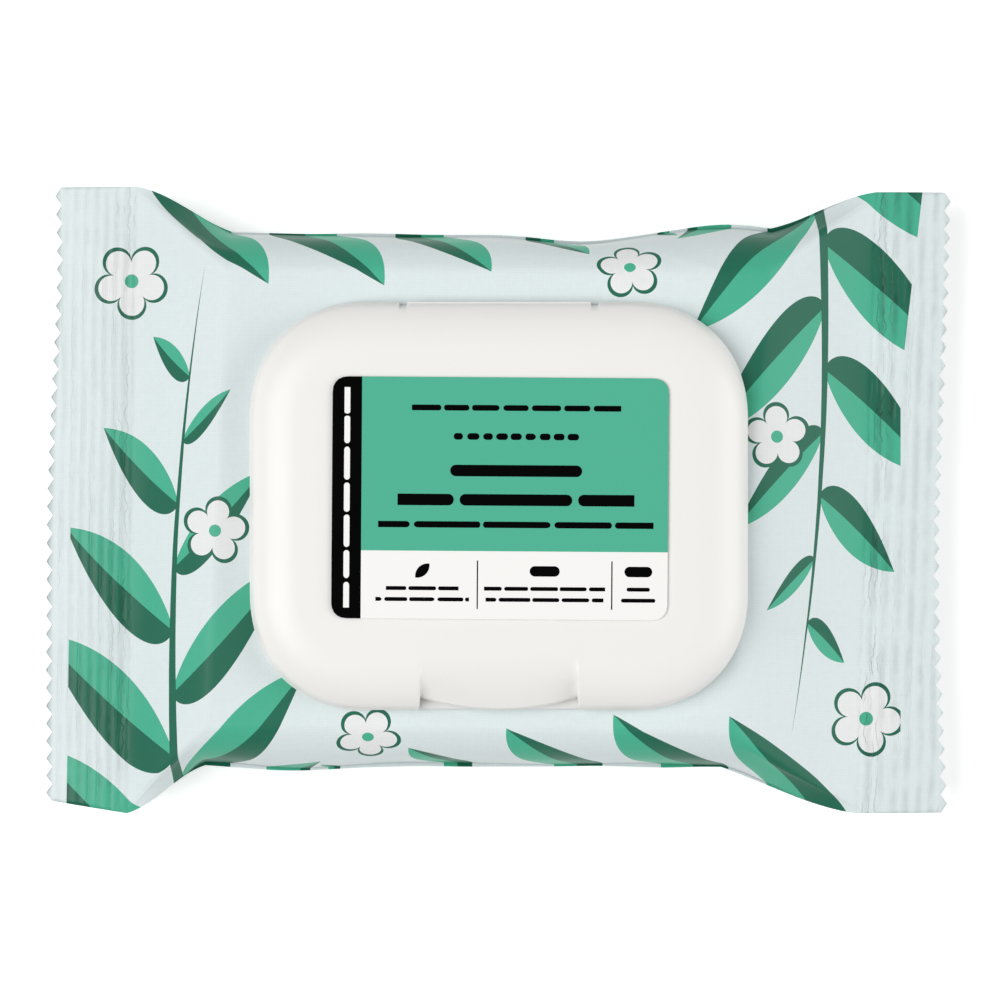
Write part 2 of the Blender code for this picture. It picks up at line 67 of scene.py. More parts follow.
bag_low, bag_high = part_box("film_bag")
BAG_LENGTH = 0.168
HALF_FILM = 0.0575  # half the width of the flattened tube
BAG_THICKNESS = bag_high.z - bag_low.z
SHOULDER_RADIUS = 0.007
SEAL_BAND = 0.016
SEAL_THICKNESS = 0.0004
SEAL_DROOP = 0.0015
SEAL_SKEW = 0.0005
TOOTH_COUNT = 34
TOOTH_DEPTH = 0.0011
GUSSETS = {-1: (0.0145, 0.0180), 1: (0.0250, 0.0195)}  # each end's fold-down length, front and back
GUSSET_EASE = 1.3
SEAL_EASE = 0.6
CORNER_SPREAD = 2
SHOULDER_FACET = 0.4
FACET_FOLD = 0.35
SEAL_LEANS = {-1: 0.0017, 1: 0.0037}  # how much further right a seal's inner edge lies at the back
EDGE_BOWS = {-1: (0.0020, 0.045, 0.030), 1: (0.0023, -0.012, 0.045)}  # a cut edge's bow, its middle and width
BACK_PUFF = (0.0021, 0.0420, 0.0125)  # how far out the slack film goes at the side, its middle and width
BACK_DENT = (-0.0012, 0.0150, 0.0100)
FRONT_PUFF = (0.0012, -0.0380, 0.0130)
LEFT_FLARE = 0.0010
LEFT_PINCH = 0.0022
FLARE_POWER = 4
FIN_WIDTH = 0.011
FIN_STEP = 0.0004
FIN_RAMP = 0.0045

COLUMNS_PER_TOOTH = 4
SIDE_COLUMNS = 17
CORNER_FILM = 0.0012  # film left for the side's columns where the side closes at the seal's corner
SEAL_ROWS = 34
GUSSET_ROWS = 40
STACK_ROWS = 86
EVEN_OUT = 2.2  # how fast the columns become even over a seal, going out to its teeth
NOISE_GAIN = 1.6  # brings Blender's noise up to -1 to 1

SEAL_INNER_X = BAG_LENGTH / 2 - SEAL_BAND
RISE = (BAG_THICKNESS - SEAL_THICKNESS) / 2
SHOULDER_FILM = SHOULDER_RADIUS * math.pi / 2
SIDE_FILM = SHOULDER_FILM + RISE - SHOULDER_RADIUS
PANEL_HALF = HALF_FILM - SIDE_FILM
COLUMNS = COLUMNS_PER_TOOTH * TOOTH_COUNT + 1


def bump(value, middle, width):
    return np.exp(-(((value - middle) / width) ** 2))


def smoothstep(low, high, value):
    t = np.clip((value - low) / (high - low), 0.0, 1.0)
    return t * t * (3 - 2 * t)


def film_noise(x, s, scale, seed):
    """Smooth noise in -1 to 1 over the film, with features about scale metres across."""
    flat = [noise.noise(Vector((a / scale, b / scale, seed))) for a, b in zip(x.ravel(), s.ravel())]
    return np.array(flat).reshape(x.shape) * NOISE_GAIN


def gusset_length(end, s):
    front, back = GUSSETS[end]
    return front + (back - front) * (s + HALF_FILM) / (2 * HALF_FILM)


def seal_inner_x(end, s):
    return end * SEAL_INNER_X + SEAL_LEANS[end] * s / (2 * HALF_FILM)


def left_front_corner(end, s):
    return np.where((s < 0) & (end < 0), np.abs(s / HALF_FILM) ** FLARE_POWER, 0.0)


def tooth_tip_x(end, s):
    bow, middle, width = EDGE_BOWS[end]
    return end * (BAG_LENGTH / 2 - bow * bump(s, middle, width))


def body_columns(fold):
    """Film coordinates across the bag, evenly over the panel and evenly over each side."""
    crease = PANEL_HALF + (HALF_FILM - CORNER_FILM - PANEL_HALF) * fold
    side = np.linspace(crease, HALF_FILM, SIDE_COLUMNS + 1)[1:]
    panel = np.linspace(-crease, crease, COLUMNS - 2 * SIDE_COLUMNS)
    return np.concatenate([-side[::-1], panel, side]), crease


def seal_columns(share):
    start, _ = body_columns(1.0)
    even = np.linspace(-HALF_FILM, HALF_FILM, COLUMNS)
    return start + (even - start) * min(1.0, EVEN_OUT * share)


def side_section(share, fold):
    """How far out and down the film goes from a panel's edge. Its shoulder flattens to a facet by a seal."""
    film = share * SIDE_FILM
    turn = np.minimum(film, SHOULDER_FILM) / SHOULDER_RADIUS
    out = SHOULDER_RADIUS * np.sin(turn)
    down = SHOULDER_RADIUS * (1 - np.cos(turn)) + np.maximum(0.0, film - SHOULDER_FILM)
    facet = SHOULDER_FACET + (1 - SHOULDER_FACET) * min(1.0, fold / FACET_FOLD)
    return out + (SHOULDER_RADIUS * share - out) * facet, down + (RISE * share - down) * facet


def panel_stand(fold):
    drop = fold**GUSSET_EASE
    return 1 - drop - SEAL_EASE * (drop - drop**3) / 2


def side_slack(x, s):
    """A dent and a puffed fold in the slack film on the hinge side, and a slighter puff at the front."""
    swells = (BACK_PUFF, BACK_DENT, FRONT_PUFF)
    puff, dent, front = (out * bump(x, middle, width) for out, middle, width in swells)
    return np.where(s > 0, puff + dent, front)


def stack_row(end, fold, share, up):
    """x, y, z and film coordinate of the points of one row between the end seals."""
    s, crease = body_columns(fold)
    left = seal_inner_x(-1, s) + gusset_length(-1, s) * (1 - fold)
    right = seal_inner_x(1, s) - gusset_length(1, s) * (1 - fold)
    x = left + (right - left) * share
    stand = panel_stand(fold)
    side = np.clip((np.abs(s) - crease) / (HALF_FILM - crease), 0.0, 1.0)
    out, down = side_section(side, fold)
    flat = fold**CORNER_SPREAD
    on_side = np.abs(s) > crease
    beyond = (np.abs(s) - crease) * flat + out * (1 - flat) * (1 - fold) + side_slack(x, s) * side
    y = np.where(on_side, crease + beyond, np.abs(s)) + LEFT_FLARE * left_front_corner(end, s) * flat
    height = RISE * stand - np.where(on_side, down * stand, 0.0)
    y = np.copysign(y, s) - SEAL_SKEW * x / SEAL_INNER_X
    z = BAG_THICKNESS / 2 + up * (SEAL_THICKNESS / 2 + height)
    return x, y, z, s, np.full_like(s, fold), np.zeros_like(s)


def seal_row(end, share, toothed, up):
    s = seal_columns(share)
    root = tooth_tip_x(end, s) - end * TOOTH_DEPTH
    inner = seal_inner_x(end, s)
    x = inner + (root - inner) * share
    if toothed:
        tooth = 1 - np.abs(2 * (((s + HALF_FILM) / (2 * HALF_FILM) * TOOTH_COUNT) % 1.0) - 1)
        x = x + end * TOOTH_DEPTH * tooth
    z = BAG_THICKNESS / 2 - SEAL_DROOP * share**2 + up * SEAL_THICKNESS / 2
    y = s - end * SEAL_SKEW - (LEFT_FLARE - LEFT_PINCH * share) * left_front_corner(end, s)
    return x, y, np.full_like(s, z), s, np.ones_like(s), np.full_like(s, share)


def film_rows(up):
    rows = [seal_row(-1, 1.0, True, up)]
    rows += [seal_row(-1, 1 - i / SEAL_ROWS, False, up) for i in range(SEAL_ROWS)]
    rows += [stack_row(-1, 1 - i / GUSSET_ROWS, 0.0, up) for i in range(GUSSET_ROWS)]
    rows += [stack_row(0, 0.0, i / STACK_ROWS, up) for i in range(STACK_ROWS + 1)]
    rows += [stack_row(1, (i + 1) / GUSSET_ROWS, 1.0, up) for i in range(GUSSET_ROWS)]
    rows += [seal_row(1, (i + 1) / SEAL_ROWS, False, up) for i in range(SEAL_ROWS)]
    rows += [seal_row(1, 1.0, True, up)]
    return [np.array(column) for column in zip(*rows)]


def sharp_fold(x, s, start, end, width, height):
    """A ridge with a sharp top along the line from start to end, dying out at both ends."""
    (x0, s0), (x1, s1) = start, end
    length = math.hypot(x1 - x0, s1 - s0)
    along = ((x - x0) * (x1 - x0) + (s - s0) * (s1 - s0)) / length**2
    across = ((x - x0) * (s1 - s0) - (s - s0) * (x1 - x0)) / length
    reach = np.clip(along * (1 - along) * 4, 0.0, 1.0) ** 0.7
    return height * np.exp(-np.abs(across) / width) * np.where((along > 0) & (along < 1), reach, 0.0)


FLUTE_PITCHES = {-1: 0.0019, 1: 0.0024}  # the knurled jaws press flutes this far apart
FLUTE_HEIGHTS = {-1: 0.000060, 1: 0.000120}
FLUTE_WAVER = 0.00022
EDGE_SAG = 0.00060
CRINKLE_DEPTH = 0.00020
CRINKLE_WIDTH = 0.0005
CRINKLE_INSET = 0.0014


def into_seal(x, s):
    """How far a point lies past the nearer end seal's inner edge, along flutes that waver a little."""
    lean = np.where(x > 0, SEAL_LEANS[1], SEAL_LEANS[-1])
    past = np.sign(x) * (x - lean * s / (2 * HALF_FILM)) - SEAL_INNER_X
    return past + FLUTE_WAVER * film_noise(x * 0.3, s, 0.020, 3.0)


def seal_relief(x, s, share, end):
    """The crimped end seal: flutes that fade in and out along it, and a slow wave to the cut edge."""
    strength = 0.70 + 0.45 * film_noise(x, s, 0.015, 7.0 + end)
    flutes = FLUTE_HEIGHTS[end] * np.sin(2 * math.pi * into_seal(x, s) / FLUTE_PITCHES[end]) * strength
    sag = EDGE_SAG * film_noise(x * 0.5, s, 0.021, 15.0 + end) * share
    return flutes * smoothstep(0.0, 0.10, share) + sag


def edge_crinkle(x, s, end):
    """The broken crease where the film leaves a seal's inner edge."""
    line = into_seal(x, s) - CRINKLE_INSET + 0.0005 * film_noise(x * 0, s, 0.006, 21.0 + end)
    strength = np.clip(0.3 + 0.9 * film_noise(x * 0, s, 0.009, 25.0 + end), 0.0, 1.3)
    return -CRINKLE_DEPTH * np.exp(-np.abs(line) / CRINKLE_WIDTH) * strength


GUSSET_WAVES = 0.0006
GUSSET_RIPPLES = 0.0002
STACK_WAVES = 0.00022
LID_HOLLOW = 0.0005  # the film sinks this far round the lid frame
FRAME_HALF_LENGTH = 0.0455
FRAME_HALF_WIDTH = 0.0373
FRAME_OFFSET = 0.0011  # the frame lies this far in front of the bag's middle
# Sharp folds in the top film: start and end on the flat film, width, and height above it.
FOLDS = [
    ((-0.0670, 0.0570), (-0.0500, 0.0440), 0.0009, 0.0006),
    ((-0.0560, 0.0480), (-0.0420, 0.0445), 0.0007, 0.0005),
    ((-0.0680, -0.0565), (-0.0535, -0.0440), 0.0009, 0.0006),
    ((-0.0670, 0.0200), (-0.0560, 0.0230), 0.0007, -0.0003),
    ((-0.0670, -0.0130), (-0.0540, -0.0100), 0.0007, -0.0003),
    ((-0.0675, -0.0350), (-0.0570, -0.0300), 0.0008, 0.0003),
    ((0.0680, 0.0560), (0.0490, 0.0440), 0.0010, 0.0006),
    ((0.0680, -0.0570), (0.0420, -0.0440), 0.0010, 0.0008),
    ((0.0660, -0.0470), (0.0480, -0.0410), 0.0012, -0.0007),
    ((0.0675, 0.0300), (0.0540, 0.0270), 0.0008, -0.0003),
    ((0.0675, 0.0040), (0.0550, -0.0010), 0.0008, 0.0003),
    ((0.0675, -0.0240), (0.0500, -0.0250), 0.0009, -0.0004),
    ((0.0200, 0.0440), (0.0330, 0.0390), 0.0012, -0.0006),
    ((0.0300, 0.0470), (0.0420, 0.0410), 0.0012, 0.0005),
]


def film_relief(x, s, fold, share, up):
    """What the creases add to the film's height. Positive is out of the bag."""
    relief = np.zeros_like(x)
    for end in (-1, 1):
        here = (np.sign(x) == end) & (fold > 0.999)
        relief += np.where(here, up * (seal_relief(x, s, share, end) + edge_crinkle(x, s, end)), 0.0)
        swell = np.sin(math.pi * np.clip(fold, 0, 1)) * np.where(np.sign(x) == end, 1.0, 0.0)
        relief += GUSSET_WAVES * film_noise(x * 0.35, s, 0.013, 31.0 + end + up) * swell
        relief += GUSSET_RIPPLES * film_noise(x * 0.5, s, 0.004, 35.0 + end + up) * swell * fold
    stack = 1 - smoothstep(0.0, 0.4, fold)
    relief += STACK_WAVES * film_noise(x, s, 0.016, 41.0 + up) * stack
    if up > 0:
        for start, end, width, height in FOLDS:
            relief += sharp_fold(x, s, start, end, width, height)
        around_lid = smoothstep(0.0395, 0.0500, np.abs(s)) + smoothstep(0.047, 0.062, np.abs(x))
        relief -= LID_HOLLOW * np.clip(around_lid, 0.0, 1.0) * stack
        under_frame = (np.abs(x) < FRAME_HALF_LENGTH) & (np.abs(s + FRAME_OFFSET) < FRAME_HALF_WIDTH)
        relief = np.where(under_frame, np.minimum(relief, 0.0), relief)
    return relief


def film_sheet(bm, up):
    """One face of the bag as a grid of vertices, with the flat film's own coordinates kept for the print."""
    x, y, z, s, fold, share = film_rows(up)
    relief = film_relief(x, s, fold, share, up)
    on_side = np.clip((np.abs(y) - PANEL_HALF) / SHOULDER_RADIUS, 0.0, 1.0) * (1 - fold)
    z = z + up * relief * (1 - on_side)
    y = y + np.sign(s) * relief * on_side
    if up < 0:
        past_fin = s - FIN_WIDTH
        beside = np.clip(past_fin / FIN_STEP, 0.0, 1.0) * (1 - smoothstep(0.0, FIN_RAMP, past_fin))
        z = np.maximum(z + FIN_STEP * beside * (1 - fold), 0.0)
    rows = [[bm.verts.new(point) for point in zip(*line)] for line in zip(x, y, z)]
    return rows, x, s, into_seal(x, s)


RIGHT_SEAL_OFFSET = 400.0  # millimetres, which gives the right seal wrinkles of its own


def add_object(name, data):
    made = bpy.data.objects.new(name, data)
    bpy.context.scene.collection.objects.link(made)
    return made


def make_film():
    """The film as one closed mesh. Map film holds the flat film's place, and map seal the way into a seal."""
    bm = bmesh.new()
    film_layer = bm.loops.layers.uv.new("film")
    seal_layer = bm.loops.layers.uv.new("seal")
    on_film, on_seal, sheets = {}, {}, {}
    for up in (1, -1):
        rows, x, s, past = film_sheet(bm, up)
        sheets[up] = rows
        for i, row in enumerate(rows):
            for j, vert in enumerate(row):
                around = s[i][j] if up > 0 else math.copysign(2 * HALF_FILM, s[i][j]) - s[i][j]
                offset = RIGHT_SEAL_OFFSET if x[i][j] > 0 else 0.0
                on_film[vert] = (1000 * x[i][j], 1000 * around)
                on_seal[vert] = (1000 * past[i][j], 1000 * around + offset)
        for first, second in zip(rows, rows[1:]):
            for a, b, c, d in zip(first, first[1:], second[1:], second):
                corners = (d, c, b, a) if up > 0 else (a, b, c, d)
                bm.faces.new(corners)
    top, back = sheets[1], sheets[-1]
    for i in range(len(top) - 1):
        bm.faces.new((top[i][0], top[i + 1][0], back[i + 1][0], back[i][0]))
        bm.faces.new((top[i + 1][-1], top[i][-1], back[i][-1], back[i + 1][-1]))
    for j in range(COLUMNS - 1):
        bm.faces.new((top[0][j + 1], top[0][j], back[0][j], back[0][j + 1]))
        bm.faces.new((top[-1][j], top[-1][j + 1], back[-1][j + 1], back[-1][j]))
    for face in bm.faces:
        face.smooth = True
        for loop in face.loops:
            loop[film_layer].uv = on_film[loop.vert]
            loop[seal_layer].uv = on_seal[loop.vert]
    mesh = bpy.data.meshes.new("film")
    bm.to_mesh(mesh)
    bm.free()
    return add_object("film", mesh)


class Nodes:
    """Adds nodes to a material or a group and joins them up."""

    def __init__(self, tree):
        self.tree = tree

    def add(self, kind, inputs=(), **settings):
        node = self.tree.nodes.new(kind)
        for name, value in settings.items():
            setattr(node, name, value)
        for key, value in dict(inputs).items():
            self.feed(node.inputs[key], value)
        return node

    def feed(self, socket, value):
        if isinstance(value, bpy.types.NodeSocket):
            self.tree.links.new(value, socket)
        else:
            socket.default_value = value

    def math(self, operation, a, b=0.0, c=0.0):
        return self.add("ShaderNodeMath", {0: a, 1: b, 2: c}, operation=operation).outputs[0]

    times = partialmethod(math, "MULTIPLY")
    plus = partialmethod(math, "ADD")
    minus = partialmethod(math, "SUBTRACT")
    per = partialmethod(math, "DIVIDE")
    times_plus = partialmethod(math, "MULTIPLY_ADD")
    below = partialmethod(math, "LESS_THAN")
    above = partialmethod(math, "GREATER_THAN")
    highest = partialmethod(math, "MAXIMUM")
    size = partialmethod(math, "ABSOLUTE")

    def mix(self, mask, a, b):
        return self.add("ShaderNodeMix", {0: mask, 6: a, 7: b}, data_type="RGBA").outputs[2]

    def vector(self, operation, *operands):
        return self.add("ShaderNodeVectorMath", dict(enumerate(operands)), operation=operation)

    def xyz(self, vector):
        return self.add("ShaderNodeSeparateXYZ", {0: vector}).outputs

    def noise(self, place, **settings):
        given = {"Vector": place} | {name.capitalize(): value for name, value in settings.items()}
        return self.add("ShaderNodeTexNoise", given).outputs["Fac"]

    def bump(self, height, strength, distance, **under):
        given = {"Height": height, "Strength": strength, "Distance": distance}
        return self.add("ShaderNodeBump", given | under).outputs[0]


def new_group(name, inputs, outputs):
    """A shader node group. An input with no value is a vector, and every other socket is a number."""
    tree = bpy.data.node_groups.new(name, "ShaderNodeTree")
    for label, value in inputs.items():
        kind = "NodeSocketVector" if value is None else "NodeSocketFloat"
        socket = tree.interface.new_socket(label, in_out="INPUT", socket_type=kind)
        if value is not None:
            socket.default_value = value
    for label in outputs:
        tree.interface.new_socket(label, in_out="OUTPUT", socket_type="NodeSocketFloat")
    nodes = Nodes(tree)
    return nodes, nodes.add("NodeGroupInput").outputs, nodes.add("NodeGroupOutput").inputs


def new_material(name):
    """A material, its nodes and the inputs of its surface shader."""
    material = bpy.data.materials.new(name)
    material.use_nodes = True
    return material, Nodes(material.node_tree), material.node_tree.nodes["Principled BSDF"].inputs


STEM_HALF_WIDTH = 1.1
LEAF_CURL = 5.0
LEAF_FULLNESS = 2.3


def leaf_sprig_group():
    """A printed sprig in millimetres: a bent stem with leaves on both sides, half light and half dark."""
    nodes, given, out = new_group(
        "leaf sprig",
        {
            "Film": None,
            "Root": None,
            "Turn": None,
            "Length": 60.0,
            "Bend": 0.002,
            "Pitch": 23.0,
            "Reach": 22.0,
            "Lean": 1.0,
            "Width": 8.5,
        },
        ["Light", "Dark"],
    )
    placed = nodes.add(
        "ShaderNodeMapping",
        {"Vector": given["Film"], "Location": given["Root"], "Rotation": given["Turn"]},
        vector_type="TEXTURE",
    )
    along, across, _ = nodes.xyz(placed.outputs[0])
    bent = nodes.times(nodes.times(along, along), given["Bend"])
    across = nodes.minus(across, bent)
    side = nodes.size(across)
    lower = nodes.below(across, 0.0)
    staggered = nodes.times_plus(lower, nodes.times(given["Pitch"], 0.5), along)
    base = nodes.minus(staggered, nodes.times(side, given["Lean"]))
    cells = nodes.per(base, given["Pitch"])
    number = nodes.math("FLOOR", cells)
    offset = nodes.times(nodes.minus(nodes.minus(cells, number), 0.5), given["Pitch"])
    share = nodes.per(nodes.times(nodes.plus(number, 0.5), given["Pitch"]), given["Length"])
    taper = nodes.minus(1.0, nodes.times(share, share))
    reach = nodes.times(given["Reach"], taper)
    run = nodes.per(side, nodes.highest(reach, 0.01))
    curl = nodes.times(nodes.times(run, nodes.minus(1.0, run)), LEAF_CURL)
    offset = nodes.plus(offset, nodes.times(curl, taper))
    swell = nodes.times(nodes.math("POWER", nodes.highest(run, 0.0), 0.7), nodes.minus(1.0, run))
    width = nodes.times(nodes.times(swell, LEAF_FULLNESS), nodes.times(given["Width"], taper))
    leaf = nodes.above(width, nodes.size(offset))
    leaf = nodes.times(leaf, nodes.above(number, -0.5))
    leaf = nodes.times(leaf, nodes.below(share, 1.0))
    shaded = nodes.below(offset, 0.0)
    dark = nodes.times(leaf, shaded)
    nodes.feed(out["Light"], nodes.minus(leaf, dark))
    way = nodes.per(along, given["Length"])
    thick = nodes.times(nodes.minus(1.0, way), STEM_HALF_WIDTH)
    stem = nodes.times(nodes.above(thick, side), nodes.above(way, 0.0))
    nodes.feed(out["Dark"], nodes.highest(dark, stem))
    return nodes.tree


PETALS = 5
PETAL_NOTCH = 0.52  # how far out two petals part
EYE_SHARE = 0.2


def blossom_group():
    """A printed blossom in millimetres: five white petals in a dark outline, with a green eye."""
    nodes, given, out = new_group(
        "blossom",
        {
            "Film": None,
            "Middle": None,
            "Radius": 6.0,
            "Turn": 0.0,
            "Outline": 0.75,
        },
        ["White", "Dark", "Eye"],
    )
    off = nodes.vector("SUBTRACT", given["Film"], given["Middle"]).outputs[0]
    distance = nodes.vector("LENGTH", off).outputs["Value"]
    x, y, _ = nodes.xyz(off)
    angle = nodes.plus(nodes.math("ARCTAN2", y, x), given["Turn"])
    petal = nodes.size(nodes.math("COSINE", nodes.times(angle, PETALS / 2)))
    petal = nodes.times_plus(nodes.math("POWER", petal, 0.6), 1 - PETAL_NOTCH, PETAL_NOTCH)
    reach = nodes.times(petal, given["Radius"])
    white = nodes.below(distance, reach)
    outlined = nodes.below(distance, nodes.plus(reach, given["Outline"]))
    eye = nodes.below(distance, nodes.times(given["Radius"], EYE_SHARE))
    nodes.feed(out["White"], nodes.minus(white, eye))
    nodes.feed(out["Dark"], nodes.minus(outlined, white))
    nodes.feed(out["Eye"], eye)
    return nodes.tree


def crimp_group():
    """Wrinkles pressed into an end seal, in millimetres: how far into the seal, and the place along it. Gives
    a bump height, and painted shade for the flute valleys and creases.
    """
    nodes, given, out = new_group(
        "crimped film",
        {
            "Seal": None,
            "Calm": 0.60,
            "Depth": 0.10,
            "Left pitch": 1000 * FLUTE_PITCHES[-1],
            "Right pitch": 1000 * FLUTE_PITCHES[1],
        },
        ["Height", "Line", "Flute shade", "Band"],
    )
    run, along, _ = nodes.xyz(given["Seal"])

    def soft_step(value, low, high, start=0.0, stop=1.0):
        step = {0: value, 1: low, 2: high, 3: start, 4: stop}
        return nodes.add("ShaderNodeMapRange", step, interpolation_type="SMOOTHSTEP").outputs[0]

    def stretched_noise(across, lengthways, offset, detail):
        moved = nodes.times_plus(run, across, offset)
        place = nodes.add("ShaderNodeCombineXYZ", {0: moved, 1: nodes.times(along, lengthways)}).outputs[0]
        return nodes.noise(place, scale=1.0, detail=detail, roughness=0.55)

    def creases(spacing, jag, offset):
        shift = nodes.minus(stretched_noise(0.16, 0.36, offset, 3.0), 0.5)
        moved = nodes.times_plus(shift, jag, run)
        wave = nodes.math("SINE", nodes.times(moved, math.pi / spacing))
        return soft_step(nodes.size(wave), 0.0, 0.34, 1.0, 0.0)

    band = soft_step(run, -0.8, 0.6)
    right = soft_step(along, RIGHT_SEAL_OFFSET / 2, RIGHT_SEAL_OFFSET / 2 + 1.0)
    lively = nodes.plus(given["Calm"], nodes.times(right, nodes.minus(1.0, given["Calm"])))
    some = soft_step(stretched_noise(0.30, 0.045, 9.0, 1.0), 0.46, 0.64)
    others = soft_step(stretched_noise(0.50, 0.11, 53.0, 2.0), 0.42, 0.58)
    at_edge = soft_step(run, 2.8, 5.0, 1.0, 0.10)
    wider = nodes.minus(given["Right pitch"], given["Left pitch"])
    pitch = nodes.times_plus(right, wider, given["Left pitch"])
    wave = nodes.math("SINE", nodes.times(nodes.per(run, pitch), 2 * math.pi))
    fading = soft_step(stretched_noise(0.28, 0.15, 71.0, 2.0), 0.36, 0.62, 0.25, 1.0)
    # Painted shade: darker in the flute valleys, in step with the mesh's flutes.
    flute_shade = nodes.times(nodes.times_plus(wave, -0.5, 0.5), nodes.times(fading, lively))
    long_creases = nodes.times(nodes.times(creases(spacing=1.9, jag=1.6, offset=17.0), some), 0.6)
    short_creases = nodes.times(creases(spacing=1.15, jag=2.6, offset=31.0), nodes.times(others, at_edge))
    line = nodes.times(nodes.highest(long_creases, short_creases), lively)
    swell = nodes.times(stretched_noise(0.55, 0.20, 45.0, 2.0), nodes.times(lively, 0.16))
    height = nodes.minus(swell, nodes.times(line, given["Depth"]))
    nodes.feed(out["Height"], nodes.times(height, band))
    # Line goes into the bump and also into the colour's painted crease shade.
    nodes.feed(out["Line"], nodes.times(line, band))
    nodes.feed(out["Flute shade"], nodes.times(flute_shade, band))
    nodes.feed(out["Band"], band)
    return nodes.tree


MINT = (0.765, 0.846, 0.850, 1.0)
PRINT_LEFT, PRINT_RIGHT = -79.3, 74.4  # millimetres along the film, where the print stops
PRINT_LEAN = 0.0148  # of the left edge
PRINT_FLARE = (22.0, 0.115)  # where the right edge starts to lean, and its lean
WEAVE_PITCH = 0.36
WEAVE_SHADE = 0.08
MOTTLE_SHADE = 0.10
# Painted shade on the end seals: how much the flute valleys and creases darken the mint ground.
CREASE_SHADE_ON_MINT = 0.09
CREASE_SHADE_ON_INK = 0.24  # how much more painted shade in creases and flute valleys darkens the darkest ink
LINE_SHADE_WEIGHT = 0.7  # painted shade of a crease beside that of a flute valley
FILM_ROUGHNESS = 0.36
MOTTLE_ROUGHNESS = 0.14
SEAL_SMOOTHNESS = 0.12  # how much less rough the jaws leave the end seals
LIGHT_GREEN = (0.070, 0.455, 0.290, 1.0)
DARK_GREEN = (0.013, 0.138, 0.082, 1.0)
WHITE_PRINT = (0.86, 0.87, 0.87, 1.0)

# Sprigs on the flat film, in millimetres and degrees: root, direction, length, bend, leaf reach, leaf width.
SPRIGS = [
    ((-57, -82), 97, 124, -0.0012, 27, 12.0),
    ((-62, 66), -9, 112, 0.0008, 24, 12.0),
    ((57, 82), -83, 124, -0.0012, 27, 12.0),
    ((62, -66), 171, 112, 0.0008, 24, 12.0),
    ((-80, 96), 2, 150, 0.0004, 26, 12.0),
]
# Blossoms: middle on the flat film, radius and turn.
BLOSSOMS = [
    ((-68, 40), 6.4, 0.3), ((-52, -6), 5.6, 1.1), ((24, 43), 5.4, 0.8), ((68, -40), 6.4, 0.1),
    ((51, 12), 5.6, 0.9), ((-24, -44), 5.4, 0.2), ((-40, 84), 6.0, 0.4), ((36, 108), 6.0, 0.7),
]


